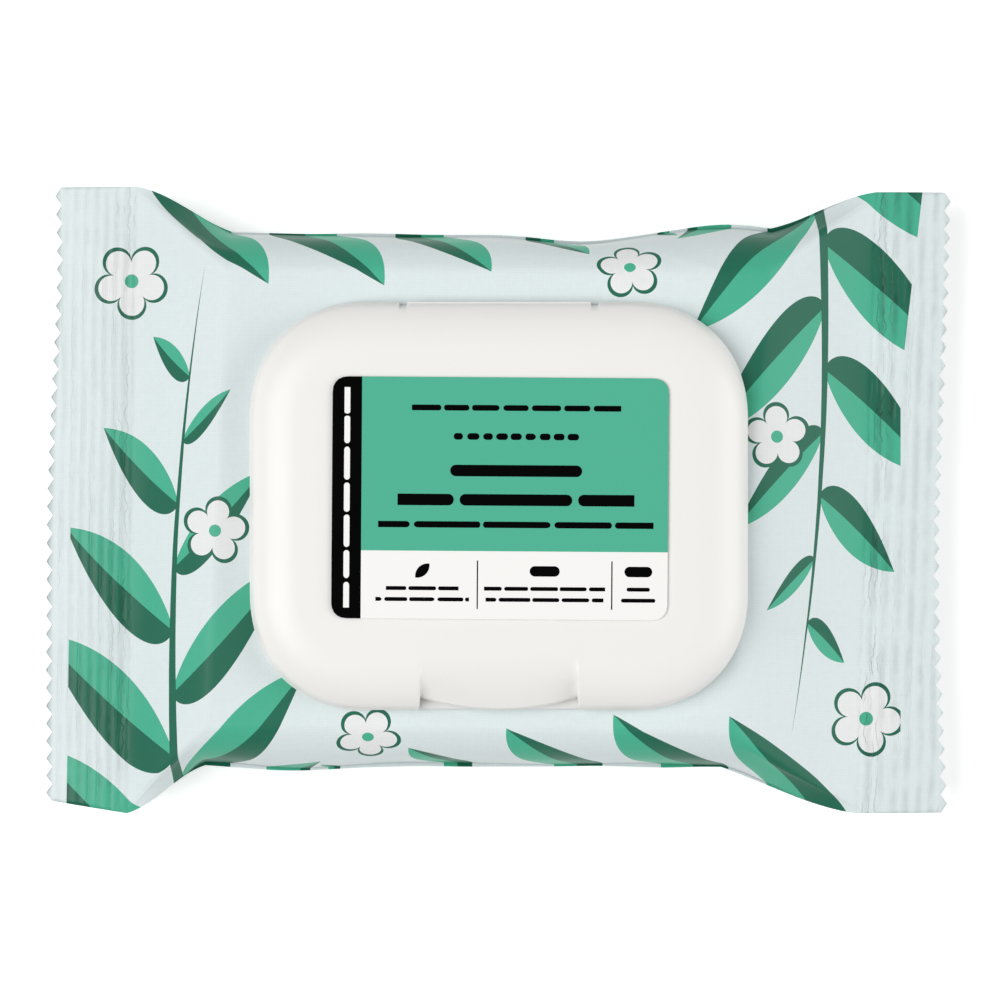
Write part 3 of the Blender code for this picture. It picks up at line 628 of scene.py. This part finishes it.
def film_material():
    """Reverse-printed film: pale mint ground and a green foliage print, under a satin skin, with painted
    shade in the crimped seals' flute valleys and creases.
    """
    material, nodes, surface = new_material("printed film")
    film = nodes.add("ShaderNodeUVMap", uv_map="film").outputs[0]
    sprig_tree = leaf_sprig_group()
    blossom_tree = blossom_group()
    colour = MINT
    for root, turn, length, bend, reach, width in SPRIGS:
        placed = {"Film": film, "Root": (*root, 0), "Turn": (0, 0, math.radians(turn)), "Length": length}
        grown = {"Bend": bend, "Reach": reach, "Width": width}
        sprig = nodes.add("ShaderNodeGroup", placed | grown, node_tree=sprig_tree)
        colour = nodes.mix(sprig.outputs["Light"], colour, LIGHT_GREEN)
        colour = nodes.mix(sprig.outputs["Dark"], colour, DARK_GREEN)
    for middle, radius, turn in BLOSSOMS:
        placed = {"Film": film, "Middle": (*middle, 0), "Radius": radius, "Turn": turn}
        blossom = nodes.add("ShaderNodeGroup", placed, node_tree=blossom_tree)
        colour = nodes.mix(blossom.outputs["White"], colour, WHITE_PRINT)
        colour = nodes.mix(blossom.outputs["Dark"], colour, DARK_GREEN)
        colour = nodes.mix(blossom.outputs["Eye"], colour, LIGHT_GREEN)
    x, y, _ = nodes.xyz(film)
    left_edge = nodes.times_plus(y, PRINT_LEAN, PRINT_LEFT)
    flare_start, lean = PRINT_FLARE
    flare = nodes.times(nodes.highest(nodes.minus(y, flare_start), 0.0), lean)
    right_edge = nodes.plus(flare, PRINT_RIGHT)
    margin = nodes.highest(nodes.below(x, left_edge), nodes.above(x, right_edge))
    colour = nodes.mix(margin, colour, MINT)
    on_seal = nodes.add("ShaderNodeUVMap", uv_map="seal").outputs[0]
    crimps = nodes.add("ShaderNodeGroup", {"Seal": on_seal}, node_tree=crimp_group())
    warp = nodes.math("SINE", nodes.times(x, 2 * math.pi / WEAVE_PITCH))
    weft = nodes.math("SINE", nodes.times(y, 2 * math.pi / WEAVE_PITCH))
    weave = nodes.times_plus(nodes.plus(warp, weft), 0.25, 0.5)
    mottle = nodes.noise(film, scale=0.9, detail=4.0, roughness=0.7)
    shade = nodes.times_plus(weave, WEAVE_SHADE, 1 - WEAVE_SHADE)
    shade = nodes.times(shade, nodes.times_plus(mottle, MOTTLE_SHADE, 1 - MOTTLE_SHADE / 2))
    # Painted shade: the seals' flute valleys and creases darken the colour, the green ink more than the mint
    # ground.
    red = nodes.add("ShaderNodeSeparateColor", {0: colour}).outputs[0]
    painted_shade_depth = nodes.times_plus(nodes.minus(1.0, red), CREASE_SHADE_ON_INK, CREASE_SHADE_ON_MINT)
    painted_crease_shade = nodes.times_plus(crimps.outputs["Line"], LINE_SHADE_WEIGHT, crimps.outputs["Flute shade"])
    shade = nodes.times(shade, nodes.minus(1.0, nodes.times(painted_crease_shade, painted_shade_depth)))
    tinted = nodes.add("ShaderNodeVectorMath", {0: colour, "Scale": shade}, operation="SCALE").outputs[0]
    nodes.feed(surface["Base Color"], tinted)
    gloss = nodes.times_plus(mottle, MOTTLE_ROUGHNESS, FILM_ROUGHNESS)
    gloss = nodes.times_plus(crimps.outputs["Band"], -SEAL_SMOOTHNESS, gloss)
    nodes.feed(surface["Roughness"], gloss)
    surface["Specular IOR Level"].default_value = 0.20
    pressed = nodes.bump(crimps.outputs["Height"], 1.0, 0.001)
    nodes.feed(surface["Normal"], nodes.bump(weave, 0.10, 0.00003, Normal=pressed))
    return material


film = make_film()
film.data.materials.append(film_material())
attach(film, "pack")
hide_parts("film_bag")

# The lid frame
# Injection-moulded white polypropylene, welded to the film round the dispensing hole. It has a thin flange, a
# raised collar that the lid closes over, a low wall for the living hinge, and a catch rib at the front.

lid_low, lid_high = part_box("lid")
frame_low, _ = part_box("lid_frame")
FRAME_BASE = frame_low.z
LID_TOP = lid_high.z
LID_LENGTH = lid_high.x - lid_low.x
LID_WIDTH = lid_high.y - lid_low.y
LID_MIDDLE_Y = (lid_high.y + lid_low.y) / 2
LID_BACK_Y = lid_high.y
LID_FRONT_Y = lid_low.y
LID_CORNER = 0.0217
CORNER_POWER = 2.2
CORNER_STEPS = 26
FLANGE_THICKNESS = 0.0012
FLANGE_INSET = 0.0002
OPENING_LENGTH = 0.0580
OPENING_WIDTH = 0.0380
OPENING_CORNER = 0.0160
COLLAR_WALL = 0.0012
COLLAR_HEIGHT = 0.0050
HINGE_HALF_LENGTH = 0.0167
HINGE_HEIGHT = 0.0024
HINGE_WALL = 0.0012
HINGE_NOTCH_WIDTH = 0.0014
HINGE_NOTCH_DEPTH = 0.00055
LATCH_HALF_LENGTH = 0.0070
LATCH_WALL = 0.0010
LATCH_SETBACK = 0.0026
LATCH_HEIGHT = 0.0040
TAB_HALF_LENGTH = 0.0145
MOULD_GAP = 0.0003
FRAME_WHITE = (0.845, 0.835, 0.815, 1.0)
FRAME_ROUGHNESS = 0.42
GLOSS_PATCHES = 0.10  # how much the roughness of a moulding changes from place to place


def around_steps(step_at, half_run):
    """Places along a straight side from -1 to 1, closer together where the moulding steps."""
    places = [np.linspace(-1, 1, 33)]
    for step in step_at:
        near = np.linspace(step - 0.0024, step + 0.0010, 18) / half_run
        places += [near, -near]
    return np.unique(np.round(np.concatenate(places), 5))


STRAIGHT_HALF = LID_LENGTH / 2 - LID_CORNER
FRONT_PLACES = around_steps([TAB_HALF_LENGTH], STRAIGHT_HALF)
BACK_PLACES = around_steps([HINGE_HALF_LENGTH, HINGE_HALF_LENGTH + HINGE_NOTCH_WIDTH], STRAIGHT_HALF)


def outline(length, width, corner):
    """An oblong with filled-out round corners as an array of (x, y), anticlockwise from the right side."""
    quarter = np.linspace(0, math.pi / 2, CORNER_STEPS + 1)
    bulge_x = np.abs(np.cos(quarter)) ** (2 / CORNER_POWER)
    bulge_y = np.abs(np.sin(quarter)) ** (2 / CORNER_POWER)
    run_x, run_y = length / 2 - corner, width / 2 - corner
    back_right = np.column_stack([run_x + corner * bulge_x, run_y + corner * bulge_y])
    back = np.column_stack([-run_x * BACK_PLACES[1:-1], np.full(len(BACK_PLACES) - 2, width / 2)])
    back_left = back_right[::-1] * (-1, 1)
    left = np.column_stack([np.full(9, -length / 2), np.linspace(run_y, -run_y, 11)[1:-1]])
    front_left = back_right * (-1, -1)
    front = np.column_stack([run_x * FRONT_PLACES[1:-1], np.full(len(FRONT_PLACES) - 2, -width / 2)])
    front_right = back_right[::-1] * (1, -1)
    right = left * (-1, -1)
    points = np.concatenate([back_right, back, back_left, left, front_left, front, front_right, right])
    return points + (0, LID_MIDDLE_Y)


def lid_outline(inset):
    return outline(LID_LENGTH - 2 * inset, LID_WIDTH - 2 * inset, LID_CORNER - inset)


def opening_outline(outset):
    return outline(OPENING_LENGTH + 2 * outset, OPENING_WIDTH + 2 * outset, OPENING_CORNER + outset)


def ring_faces(bm, rows, closed=False):
    """Faces between rings of vertices. closed joins the last ring to the first."""
    pairs = list(zip(rows, rows[1:])) + ([(rows[-1], rows[0])] if closed else [])
    for lower, upper in pairs:
        for i in range(len(lower)):
            j = (i + 1) % len(lower)
            bm.faces.new((lower[i], lower[j], upper[j], upper[i]))


def add_ring(bm, points, height):
    heights = np.broadcast_to(height, len(points))
    return [bm.verts.new((x, y, z)) for (x, y), z in zip(points, heights)]


def rounded_block(bm, x, y, z, radius):
    """A small moulded rib with its upper edges rounded."""
    made = bmesh.ops.create_cube(bm, size=1.0)["verts"]
    for vert in made:
        vert.co = Vector(low if side < 0 else high for side, (low, high) in zip(vert.co, (x, y, z)))
    edges = {edge for vert in made for edge in vert.link_edges}
    upper = [edge for edge in edges if max(vert.co.z for vert in edge.verts) > z[1] - radius / 2]
    bmesh.ops.bevel(bm, geom=upper, offset=radius, segments=3, affect="EDGES")


def moulded_piece(name, bm, material, sharp=50):
    bmesh.ops.recalc_face_normals(bm, faces=bm.faces)
    mesh = bpy.data.meshes.new(name)
    bm.to_mesh(mesh)
    bm.free()
    mesh.shade_smooth()
    mesh.set_sharp_from_angle(angle=math.radians(sharp))
    mesh.materials.append(material)
    return add_object(name, mesh)


def moulded_grain_group():
    """The fine grain of a spark-eroded mould, in metres, with slight changes in gloss."""
    nodes, given, out = new_group(
        "moulded grain",
        {
            "Place": None,
            "Base roughness": 0.4,
            "Fineness": 2600.0,
        },
        ["Roughness", "Height"],
    )
    patches = nodes.noise(given["Place"], scale=60.0, detail=2.0)
    evened = nodes.minus(given["Base roughness"], GLOSS_PATCHES / 2)
    nodes.feed(out["Roughness"], nodes.times_plus(patches, GLOSS_PATCHES, evened))
    nodes.feed(out["Height"], nodes.noise(given["Place"], scale=given["Fineness"], detail=2.0))
    return nodes.tree


MOULDED_GRAIN = moulded_grain_group()


def moulded_plastic(name, colour, roughness):
    """Satin polypropylene with the mould's grain on it."""
    material, nodes, surface = new_material(name)
    surface["Base Color"].default_value = colour
    place = nodes.add("ShaderNodeTexCoord").outputs["Object"]
    given = {"Place": place, "Base roughness": roughness}
    grain = nodes.add("ShaderNodeGroup", given, node_tree=MOULDED_GRAIN).outputs
    nodes.feed(surface["Roughness"], grain["Roughness"])
    nodes.feed(surface["Normal"], nodes.bump(grain["Height"], 0.10, 0.00005))
    return material


def in_hinge_notch(x):
    """Whether x is in one of the two notches beside the living hinge."""
    return np.abs(np.abs(x) - HINGE_HALF_LENGTH - HINGE_NOTCH_WIDTH / 2) < HINGE_NOTCH_WIDTH / 2


def make_frame():
    bm = bmesh.new()
    flange = FRAME_BASE + FLANGE_THICKNESS
    collar = FRAME_BASE + COLLAR_HEIGHT
    notched = lid_outline(FLANGE_INSET)
    notched[in_hinge_notch(notched[:, 0]) & (notched[:, 1] > 0), 1] -= HINGE_NOTCH_DEPTH
    rings = [
        add_ring(bm, notched, FRAME_BASE),
        add_ring(bm, notched, flange - 0.0003),
        add_ring(bm, lid_outline(FLANGE_INSET + 0.0004), flange),
        add_ring(bm, lid_outline(FLANGE_INSET + 0.0016), flange),
        add_ring(bm, opening_outline(COLLAR_WALL + 0.0022), flange),
        add_ring(bm, opening_outline(COLLAR_WALL + 0.0009), flange),
        add_ring(bm, opening_outline(COLLAR_WALL + 0.0003), flange + 0.0002),
        add_ring(bm, opening_outline(COLLAR_WALL), flange + 0.0008),
        add_ring(bm, opening_outline(COLLAR_WALL - 0.0001), collar - 0.0004),
        add_ring(bm, opening_outline(COLLAR_WALL - 0.0004), collar),
        add_ring(bm, opening_outline(0.0004), collar),
        add_ring(bm, opening_outline(0.0001), collar - 0.0004),
        add_ring(bm, opening_outline(0.0), FRAME_BASE),
    ]
    ring_faces(bm, rings, closed=True)
    half, wall = HINGE_HALF_LENGTH, (LID_BACK_Y - HINGE_WALL, LID_BACK_Y)
    rounded_block(bm, (-half, half), wall, (FRAME_BASE + 0.0002, FRAME_BASE + HINGE_HEIGHT), 0.00025)
    latch_y = LID_FRONT_Y + LATCH_SETBACK
    half, wall = LATCH_HALF_LENGTH, (latch_y, latch_y + LATCH_WALL)
    rounded_block(bm, (-half, half), wall, (FRAME_BASE + 0.0002, FRAME_BASE + LATCH_HEIGHT), 0.0003)
    return moulded_piece("frame_moulding", bm, moulded_plastic("frame plastic", FRAME_WHITE, FRAME_ROUGHNESS))


frame_moulding = make_frame()
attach(frame_moulding, "pack")
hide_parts("lid_frame")

# The peel-off seal
# A film sticker over the die-cut hole, with a green pull tab at its front. It is stuck to the film inside the
# frame's collar and lies under the shut lid.

peel_low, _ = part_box("peel_seal")
PULL_TAB_FRONT = peel_low.y
PULL_TAB_LENGTH = 0.0052
PULL_TAB_HALF_WIDTH = 0.0062
SEAL_GREEN = (0.10, 0.43, 0.28, 1.0)
SEAL_PALE = (0.80, 0.86, 0.86, 1.0)


def peel_seal_material():
    """Pale film with a green pull tab and a faint cross-hatched embossing."""
    material, nodes, surface = new_material("peel seal film")
    place = nodes.add("ShaderNodeTexCoord").outputs["Object"]
    x, y, _ = nodes.xyz(place)
    tab = nodes.below(y, PULL_TAB_FRONT + PULL_TAB_LENGTH)
    narrow = nodes.below(nodes.size(x), PULL_TAB_HALF_WIDTH)
    nodes.feed(surface["Base Color"], nodes.mix(nodes.times(tab, narrow), SEAL_PALE, SEAL_GREEN))
    surface["Roughness"].default_value = 0.3
    emboss = nodes.add("ShaderNodeTexVoronoi", {"Vector": place, "Scale": 900.0}).outputs["Distance"]
    nodes.feed(surface["Normal"], nodes.bump(emboss, 0.15, 0.0001))
    return material


def dress(node, material):
    """Gives a CAD part its material and changes nothing else."""
    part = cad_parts[node]
    part.data.materials.clear()
    part.data.materials.append(material)


dress("peel_seal", peel_seal_material())

# The lid
# One thin shell of warm white polypropylene with a rolled edge. A thumb scoop runs down to a bowed tab at the
# front, the living hinge lies between two notches at the back, and a sealing rib drops round the collar.

LID_WALL = 0.0012
LID_HEIGHT = LID_TOP - FRAME_BASE
ROLL_WIDTH = 0.0090
SKIRT_TOP = 0.0022
SKIRT_DRAFT = 0.0003
SKIRT_BOTTOM = FLANGE_THICKNESS + MOULD_GAP
SEALING_RIB_WALL = 0.0010
SEALING_RIB_REACH = 0.0034
TAB_DEPTH = 0.0100
TAB_TOP = 0.0034
TAB_WALL = 0.0011
TAB_BOW = 0.0023
TAB_COVE = 0.0022  # width of the cove at each side of the scoop
SCOOP_START_SLOPE = 0.25
HINGE_LINE = HINGE_HEIGHT + MOULD_GAP
NOTCH_REACH = 0.002  # how far in over the lid a hinge notch fades out
ROLL_STEPS = 20
TOP_INSETS = (0.0098, 0.0108, 0.0120, 0.0140)  # rings of the flat top
TOP_SHARES = (0.25, 0.5, 0.75)  # rings further in, as shares of the way to the middle
LID_WHITE = (0.885, 0.872, 0.848, 1.0)
LID_ROUGHNESS = 0.40


def scoop_height(y):
    run = np.clip((LID_FRONT_Y + TAB_DEPTH - y) / TAB_DEPTH, 0.0, 1.1)
    return LID_HEIGHT - (LID_HEIGHT - TAB_TOP) * (SCOOP_START_SLOPE * run + (1 - SCOOP_START_SLOPE) * run**2)


def lid_ring(wall, inset, height, tab_height):
    """One ring of the lid's skin, with the scoop, the bowed tab, the notches and the hinge line worked in."""
    points = lid_outline(wall + inset)
    x, y = points[:, 0], points[:, 1]
    heights = np.full(len(points), height)
    near = y < LID_FRONT_Y + TAB_DEPTH
    cove = np.clip((TAB_HALF_LENGTH + wall * 0.5 - np.abs(x)) / TAB_COVE, 0.0, 1.0)
    in_tab = (1 - (1 - cove) ** 2.5) * near
    scoop = scoop_height(y) - wall if tab_height is None else tab_height
    heights = heights + (np.minimum(scoop, LID_HEIGHT - wall) - heights) * in_tab
    set_back = TAB_BOW * (np.minimum(np.abs(x), TAB_HALF_LENGTH) / TAB_HALF_LENGTH) ** 2
    inside = np.clip((TAB_HALF_LENGTH + 0.0001 - np.abs(x)) / 0.0003, 0.0, 1.0) * near
    y = y + set_back * inside * (1 - smoothstep(0.0, 0.008, inset))
    behind = y > LID_MIDDLE_Y + LID_WIDTH / 2 - ROLL_WIDTH
    on_hinge = behind & (np.abs(x) < HINGE_HALF_LENGTH)
    closed = HINGE_LINE + 0.2 * (height - SKIRT_BOTTOM)
    heights = np.where(on_hinge & (height < closed), closed, heights)
    in_notch = behind & in_hinge_notch(x) & (inset < NOTCH_REACH)
    y = np.where(in_notch, y - HINGE_NOTCH_DEPTH * (1 - smoothstep(0, NOTCH_REACH, inset)), y)
    return np.column_stack([x, y]), FRAME_BASE + heights


def lid_skin(bm, wall):
    """The lid's outer skin or, a wall's thickness in, its inner skin, from the skirt's foot to the middle."""
    tab_low = TAB_TOP - TAB_WALL
    rings = [
        lid_ring(wall, 0.0002 if wall == 0 else -0.0002, SKIRT_BOTTOM, tab_low),
        lid_ring(wall, 0.0, SKIRT_BOTTOM + 0.0002, tab_low + 0.0002),
        lid_ring(wall, SKIRT_DRAFT, SKIRT_TOP, TAB_TOP - 0.0003 - wall * 0.3),
    ]
    for step in range(1, ROLL_STEPS + 1):
        angle = math.pi / 2 * step / ROLL_STEPS
        inset = SKIRT_DRAFT + (ROLL_WIDTH - SKIRT_DRAFT) * (1 - math.cos(angle))
        height = SKIRT_TOP + (LID_HEIGHT - wall - SKIRT_TOP) * math.sin(angle)
        rings.append(lid_ring(wall, inset, height, None))
    for inset in TOP_INSETS:
        rings.append(lid_ring(wall, inset, LID_HEIGHT - wall, None))
    inner, heights = rings[-1]
    middle = np.array((0.0, LID_MIDDLE_Y))
    for share in TOP_SHARES:
        rings.append((inner + (middle - inner) * share, heights))
    rows = [add_ring(bm, points, heights) for points, heights in rings]
    ring_faces(bm, rows)
    centre = bm.verts.new((*middle, LID_TOP - wall))
    for a, b in zip(rows[-1], rows[-1][1:] + rows[-1][:1]):
        bm.faces.new((a, b, centre))
    return rows[0]


def make_lid():
    bm = bmesh.new()
    outside, inside = lid_skin(bm, 0.0), lid_skin(bm, LID_WALL)
    ring_faces(bm, [outside, inside])
    roof = LID_TOP - LID_WALL + 0.0002
    foot = LID_TOP - LID_WALL - SEALING_RIB_REACH
    near = COLLAR_WALL + MOULD_GAP
    far = near + SEALING_RIB_WALL
    rib = [
        add_ring(bm, opening_outline(far), roof),
        add_ring(bm, opening_outline(far), foot + 0.0003),
        add_ring(bm, opening_outline(far - 0.0003), foot),
        add_ring(bm, opening_outline(near + 0.0003), foot),
        add_ring(bm, opening_outline(near), foot + 0.0003),
        add_ring(bm, opening_outline(near), roof),
    ]
    ring_faces(bm, rib)
    latch_y = LID_FRONT_Y + LATCH_SETBACK - MOULD_GAP
    half, wall = LATCH_HALF_LENGTH, (latch_y - LATCH_WALL, latch_y)
    rounded_block(bm, (-half, half), wall, (FRAME_BASE + SKIRT_BOTTOM, FRAME_BASE + TAB_TOP - 0.0006), 0.0002)
    return moulded_piece("lid_shell", bm, moulded_plastic("lid plastic", LID_WHITE, LID_ROUGHNESS), sharp=60)


lid_shell = make_lid()
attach(lid_shell, "lid")
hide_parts("lid")

# The label
# A die-cut sticker on the lid's flat top: a black strip, a green field and a white field divided in three.
# Where a maker would set words there are plain bars in the places and sizes of lines of type.

label_low, label_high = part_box("lid_label")
LABEL_GREEN = (0.092, 0.470, 0.312, 1.0)
LABEL_WHITE = (0.960, 0.950, 0.930, 1.0)
INK = (0.002, 0.002, 0.002, 1.0)
LABEL_TURN = -0.4  # degrees
BLACK_STRIP_EDGE = -25.15  # millimetres from the label's middle
WHITE_FIELD_TOP = -9.6


def bar_group():
    """A line of small type seen from afar: a thin bar broken into words with rounded ends."""
    nodes, given, out = new_group(
        "bar of type",
        {
            "Place": None,
            "Middle": None,
            "Length": 20.0,
            "Height": 1.0,
            "Word": 5.0,
            "Uneven": 0.35,
        },
        ["Ink"],
    )
    off = nodes.vector("SUBTRACT", given["Place"], given["Middle"]).outputs[0]
    x, y, _ = nodes.xyz(off)
    cells = nodes.per(x, given["Word"])
    line = {"W": nodes.plus(cells, given["Length"]), "Scale": 0.8, "Detail": 1.0}
    sway = nodes.add("ShaderNodeTexNoise", line, noise_dimensions="1D").outputs["Fac"]
    swayed = nodes.times_plus(nodes.minus(sway, 0.5), given["Uneven"], cells)
    swayed = nodes.plus(swayed, 0.5)
    from_middle = nodes.size(nodes.minus(nodes.math("FRACT", swayed), 0.5))
    half_space = nodes.times(given["Height"], 0.75)
    straight = nodes.minus(nodes.times(given["Word"], 0.5), half_space)
    past = nodes.highest(nodes.minus(nodes.times(from_middle, given["Word"]), straight), 0.0)
    round_off = nodes.math("SQRT", nodes.plus(nodes.times(past, past), nodes.times(y, y)))
    word = nodes.below(round_off, nodes.times(given["Height"], 0.5))
    in_length = nodes.below(nodes.size(x), nodes.times(given["Length"], 0.5))
    nodes.feed(out["Ink"], nodes.times(in_length, word))
    return nodes.tree


# Bars of type on the label, in millimetres from its middle: middle, length, height and word length.
GREEN_BARS = [
    ((2.9, 16.4), 38, 1.05, 5.5), ((2.9, 11.2), 23, 1.2, 2.6), ((2.9, 5.0), 25, 2.1, 25),
    ((2.9, -0.3), 43, 2.1, 21.5), ((2.9, -4.8), 50, 1.15, 12),
]
WHITE_BARS = [
    ((-14.0, -16.4), 13.2, 0.72, 5.4), ((-14.0, -18.4), 17.0, 0.72, 5.0), ((8.2, -13.2), 6.4, 1.9, 6.4),
    ((8.2, -16.4), 22.0, 0.72, 5.2), ((8.2, -18.4), 21.4, 0.72, 5.6), ((25.2, -13.2), 6.0, 1.9, 6.0),
    ((25.2, -16.4), 4.6, 0.72, 4.6), ((25.2, -18.4), 6.6, 0.72, 6.6),
]
DIVIDERS = (-4.0, 20.4)
DIVIDER_HALF_WIDTH = 0.12
DIVIDER_MIDDLE = -15.7
DIVIDER_HALF_LENGTH = 4.4
STRIP_BAR = ((0.0, 27.8), 40, 1.05, 6.0)  # turned to run up the black strip
PICTOGRAM = (-14.0, -13.2)  # middle of a small leaf in the white field, the overlap of two discs
DISC_RADIUS = 2.25
DISC_SHIFT = 0.95


def label_material():
    """Printed and varnished paper sticker."""
    material, nodes, surface = new_material("label print")
    middle = (label_low + label_high) / 2
    on_label = nodes.add(
        "ShaderNodeMapping",
        {
            "Vector": nodes.add("ShaderNodeTexCoord").outputs["Object"],
            "Location": (middle.x, middle.y, label_high.z),
            "Rotation": (0, 0, math.radians(LABEL_TURN)),
            "Scale": (0.001, 0.001, 0.001),
        },
        vector_type="TEXTURE",
    ).outputs[0]
    turned = {"Vector": on_label, "Rotation": (0, 0, -math.pi / 2)}
    sideways = nodes.add("ShaderNodeMapping", turned).outputs[0]
    bar_tree = bar_group()

    def bar(place, at, length, height, word):
        line = {"Place": place, "Middle": (*at, 0), "Length": length, "Height": height, "Word": word}
        line["Uneven"] = 0.0 if word > length / 2.5 else 0.35
        return nodes.add("ShaderNodeGroup", line, node_tree=bar_tree).outputs["Ink"]

    x, y, _ = nodes.xyz(on_label)
    colour = nodes.mix(nodes.below(y, WHITE_FIELD_TOP), LABEL_GREEN, LABEL_WHITE)
    for at, length, height, word in GREEN_BARS + WHITE_BARS:
        colour = nodes.mix(bar(on_label, at, length, height, word), colour, INK)
    for divider in DIVIDERS:
        beside = nodes.below(nodes.size(nodes.minus(x, divider)), DIVIDER_HALF_WIDTH)
        low = nodes.below(nodes.size(nodes.plus(y, -DIVIDER_MIDDLE)), DIVIDER_HALF_LENGTH)
        colour = nodes.mix(nodes.times(beside, low), colour, INK)
    leaf = 1.0
    for side in (-1, 1):
        centre = (PICTOGRAM[0] + side * DISC_SHIFT, PICTOGRAM[1] - side * DISC_SHIFT, 0)
        apart = nodes.vector("DISTANCE", on_label, centre).outputs["Value"]
        leaf = nodes.times(nodes.below(apart, DISC_RADIUS), leaf)
    colour = nodes.mix(leaf, colour, INK)
    colour = nodes.mix(nodes.below(x, BLACK_STRIP_EDGE), colour, INK)
    colour = nodes.mix(bar(sideways, *STRIP_BAR), colour, LABEL_WHITE)
    nodes.feed(surface["Base Color"], colour)
    surface["Roughness"].default_value = 0.45
    surface["Specular IOR Level"].default_value = 0.005
    grain = nodes.noise(on_label, scale=1.8, detail=2.0)
    nodes.feed(surface["Normal"], nodes.bump(grain, 0.06, 0.00004))
    return material


dress("lid_label", label_material())

# The studio
# A pale floor under soft light from both sides, and a camera straight above the pack.

CAMERA_HEIGHT = 1.0
PICTURE_WIDTH = 0.1852  # at the level of the end seals
SEAL_LEVEL = 0.0115
CAMERA_SHIFT = 0.0002
SENSOR_WIDTH = 36
FLOOR_HALF = 3
FLOOR_GAP = 0.0002
FLOOR_PALE = (0.92, 0.92, 0.92, 1)
FLOOR_GLOW = 0.45  # what the floor adds to its own colour where it is seen
WORLD_LIGHT = 0.25  # the world's strength as a light, while it is 1 where it is seen
WHITE = (1, 1, 1, 1)


def in_view(nodes):
    """1 for what the camera sees, also in a reflection or through glass, and 0 for light on the object."""
    rays = nodes.add("ShaderNodeLightPath").outputs
    seen = nodes.highest(rays["Is Camera Ray"], rays["Is Glossy Ray"])
    return nodes.highest(seen, rays["Is Transmission Ray"])


floor_mesh = bpy.data.meshes.new("floor")
floor_corners = [(FLOOR_HALF * x, FLOOR_HALF * y, 0) for x, y in ((-1, -1), (1, -1), (1, 1), (-1, 1))]
floor_mesh.from_pydata(floor_corners, [], [(0, 1, 2, 3)])
floor = add_object("floor", floor_mesh)
floor.location.z = cad_bounds[0][2] - FLOOR_GAP
floor_material, floor_nodes, floor_surface = new_material("floor")
floor_surface["Base Color"].default_value = FLOOR_PALE
floor_surface["Roughness"].default_value = 1.0
floor_surface["Emission Color"].default_value = WHITE
floor_nodes.feed(floor_surface["Emission Strength"], floor_nodes.times(in_view(floor_nodes), FLOOR_GLOW))
floor_mesh.materials.append(floor_material)

world = bpy.data.worlds.new("studio")
bpy.context.scene.world = world
world.use_nodes = True
world_nodes = Nodes(world.node_tree)
background = world.node_tree.nodes["Background"]
world_glow = world_nodes.times_plus(in_view(world_nodes), 1 - WORLD_LIGHT, WORLD_LIGHT)
world_nodes.feed(background.inputs["Strength"], world_glow)
background.inputs["Color"].default_value = WHITE


def soft_box(name, place, size, power):
    light = bpy.data.lights.new(name, "AREA")
    light.shape = "DISK"
    light.size = size
    light.energy = power
    lamp = add_object(name, light)
    lamp.location = place
    lamp.rotation_euler = (-Vector(place)).to_track_quat("-Z", "Y").to_euler()


soft_box("left soft box", (-1.05, -0.05, 1.45), size=1.5, power=24.4)
soft_box("right soft box", (1.40, 0.0, 0.65), size=1.4, power=12.9)

camera_data = bpy.data.cameras.new("camera")
camera_data.sensor_width = SENSOR_WIDTH
camera_data.lens = SENSOR_WIDTH * CAMERA_HEIGHT / PICTURE_WIDTH
camera = add_object("camera", camera_data)
camera.location = (CAMERA_SHIFT, 0, SEAL_LEVEL + CAMERA_HEIGHT)
bpy.context.scene.camera = camera
bpy.context.scene.view_settings.view_transform = "Standard"
